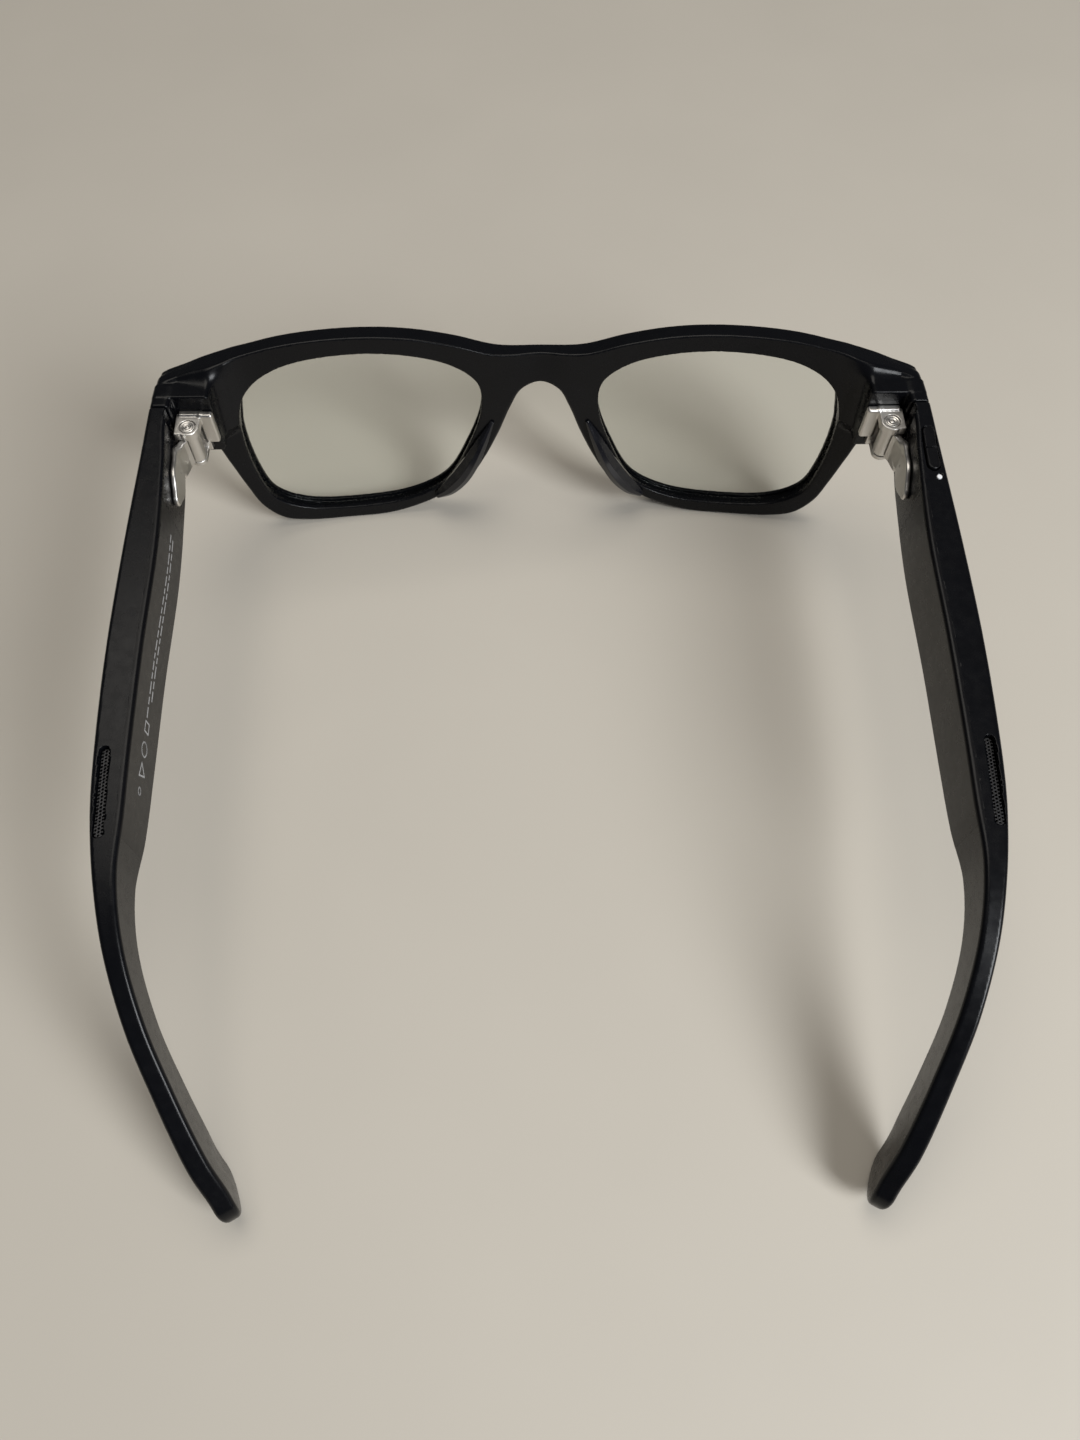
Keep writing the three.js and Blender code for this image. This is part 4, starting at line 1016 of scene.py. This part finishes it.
def turned(profile, centre, axes, sides):
    """A lathe mesh: the profile is (radius, height) from axis to axis, round the third axis."""
    profile = np.array(profile, float)
    ways = np.diff(profile, axis=0)
    ways /= np.linalg.norm(ways, axis=1)[:, None]
    spread = np.vstack([ways[:1], (ways[:-1] + ways[1:]), ways[-1:]])
    spread /= np.maximum(np.linalg.norm(spread, axis=1), 1e-9)[:, None]
    angles = np.linspace(0, 2 * math.pi, sides, endpoint=False)
    local, normals = [], []
    for (radius, height), (dr, dh) in zip(profile, spread):
        around = [angles[0]] if radius == 0 else angles
        for angle in around:
            local.append((radius * math.cos(angle), radius * math.sin(angle), height))
            normals.append((dh * math.cos(angle), dh * math.sin(angle), -dr))
    normals[0], normals[-1] = (0, 0, -np.sign(ways[0, 0])), (0, 0, -np.sign(ways[-1, 0]))
    faces, base = [], 0
    for r in range(len(profile) - 1):
        here, there = profile[r, 0] > 0, profile[r + 1, 0] > 0
        after = base + (sides if here else 1)
        for i in range(sides):
            j = (i + 1) % sides
            ring = [base + i, base + j] if here else [base]
            ring += [after + j, after + i] if there else [after]
            faces.append(ring)
        base = after
    return centre + np.array(local) @ axes, faces, np.array(normals) @ axes


# ---------------------------------------------------------------- windows on the front
def window_shape():
    rim, low, high = EYE_RADIUS, -0.95, -0.05
    profile = [(0, low), (rim - 0.1, low), (rim, low + 0.1),
               (rim, high - 0.18), (rim - 0.18, high), (0, high)]
    return turned(profile, EYE_CENTRE, EYE_AXES, 96)


def barrel_shape():
    """The camera's lens barrel: stepped rings round a domed lens."""
    floor, top = -2.6, -1.36
    profile = [(0, floor), (1.4, floor), (1.4, top), (1.22, top), (1.16, top - 0.12), (1.0, top - 0.14),
               (0.95, top - 0.26), (0.82, top - 0.28)]
    dome = 0.78
    profile += [(dome * math.sin(t), top - 0.46 + 0.24 * math.cos(t)) for t in np.linspace(math.pi / 2, 0, 9)]
    profile[-1] = (0, profile[-1][1])
    return turned(profile, EYE_CENTRE, EYE_AXES, 64)


# ---------------------------------------------------------------- assembly
def both_sides(name, body, shape, slot, node):
    add_piece(f"left_{name}", body.format("left"), shape, slot, [f"left_{node}"])
    add_piece(f"right_{name}", body.format("right"), shape, slot, [f"right_{node}"], right=True)


def build_front():
    shape = surface(front_field, (-74.5, -21, -0.2), (74.5, 0.6, 46.5), 0.34)
    add_piece("front_frame_body", "front", shape, "frame_plastic", ["front_frame"])
    both_sides("lens_glass", "front", lens_shape(OPENING_LINE), "lens_clear", "lens")
    both_sides("nose_pad_leaf", "front", pad_shape(), "pad_plastic", "nose_pad")
    add_piece("camera_window_glass", "front", window_shape(), "window_black", ["camera_window"])
    add_piece("capture_light_glass", "front", window_shape(), "window_black", ["capture_light_window"],
              right=True)
    add_piece("camera_lens", "front", barrel_shape(), "optics_black", ["camera_lens_barrel"])


def build_temples():
    low, high = (50, -0.2, -0.2), (75.5, 139, 44)
    left = surface(lambda p: shell_field(p, [switch_slot]), low, high, 0.3, temple_skin)
    add_piece("left_temple_body", "left_temple", left, "frame_plastic", ["left_temple_shell"])
    right = surface(lambda p: shell_field(p, [button_pocket, light_bore]), low, high, 0.3, temple_skin)
    add_piece("right_temple_body", "right_temple", right, "frame_plastic", ["right_temple_shell"], right=True)
    cover = surface(cover_field, *near_temple(20, 84), 0.26, temple_skin)
    both_sides("inner_cover", "{}_temple", cover, "cover_plastic", "temple_cover")
    grille = surface(mesh_field, *near_temple(68, 85), 0.1)
    both_sides("vent_grille", "{}_temple", grille, "speaker_mesh", "speaker_mesh")
    button = surface(button_field, *near_temple(5, 16.5), 0.16)
    add_piece("right_button_cap", "capture_button", button, "cover_plastic", ["right_capture_button"],
              right=True)
    # status light window on the right temple; its pale grey material is partly a painted highlight standing
    # in for the glint behind the button
    light = surface(light_field, *near_temple(16, 18.4), 0.1)
    add_piece("right_status_lens_painted_glint", "right_temple", light, "status_light", ["right_status_light"], right=True)
    knob = surface(switch_field, *near_temple(6.5, 12), 0.12)
    add_piece("left_switch_knob", "power_switch", knob, "cover_plastic", ["left_power_switch"])
    add_piece("left_cover_print", "left_temple", print_marks(), "print")


def build_hinges():
    bracket = surface(bracket_field, (62, -2.6, 29.3), (70, 4, 40.2), 0.13)
    both_sides("hinge_bracket_plate", "front", bracket, "hinge_steel", "hinge_bracket")
    leaf = surface(leaf_field, (64.8, -0.7, 30), (70.6, 18, 39.5), 0.14)
    both_sides("hinge_leaf_plate", "{}_temple", leaf, "hinge_steel", "hinge_leaf")
    both_sides("hinge_pin_screw", "front", screw_shape(), "hinge_steel", "hinge_screw")


# CAD nodes that have no piece of their own and are shown as they are
CARRIED = {
    "front_flex_cable": "flex_circuit", "camera_module": "module_black",
    "capture_light_board": "circuit_board",
    "left_charging_contact": "contact_gold", "right_charging_contact": "contact_gold",
    "bridge_microphone": "component_metal", "left_speaker": "module_black", "right_speaker": "module_black",
    "left_microphone": "component_metal", "right_microphone": "component_metal",
    "left_battery": "component_metal", "left_power_board": "circuit_board",
    "right_main_board": "circuit_board", "right_touch_strip": "flex_circuit",
    "right_button_dome": "contact_gold",
}

photo_camera()
MATERIALS = make_materials()
studio()
OUTER, OPENED, OPENING_LINE = front_outlines()
BROW = Outline(smooth_curve(BROW_ROUTE), (-2, -4), (77, 50), filled=False)
PAD_TRACK = Track(PAD, 2)
SPINE = Track([(x, y, z, height, thick) for y, z, height, x, thick in TEMPLE], 3, uniform=True)
build_front()
build_temples()
build_hinges()
for node, slot in CARRIED.items():
    mesh = frame["nodes"][node].data
    mesh.materials.clear()
    mesh.materials.append(MATERIALS[slot])
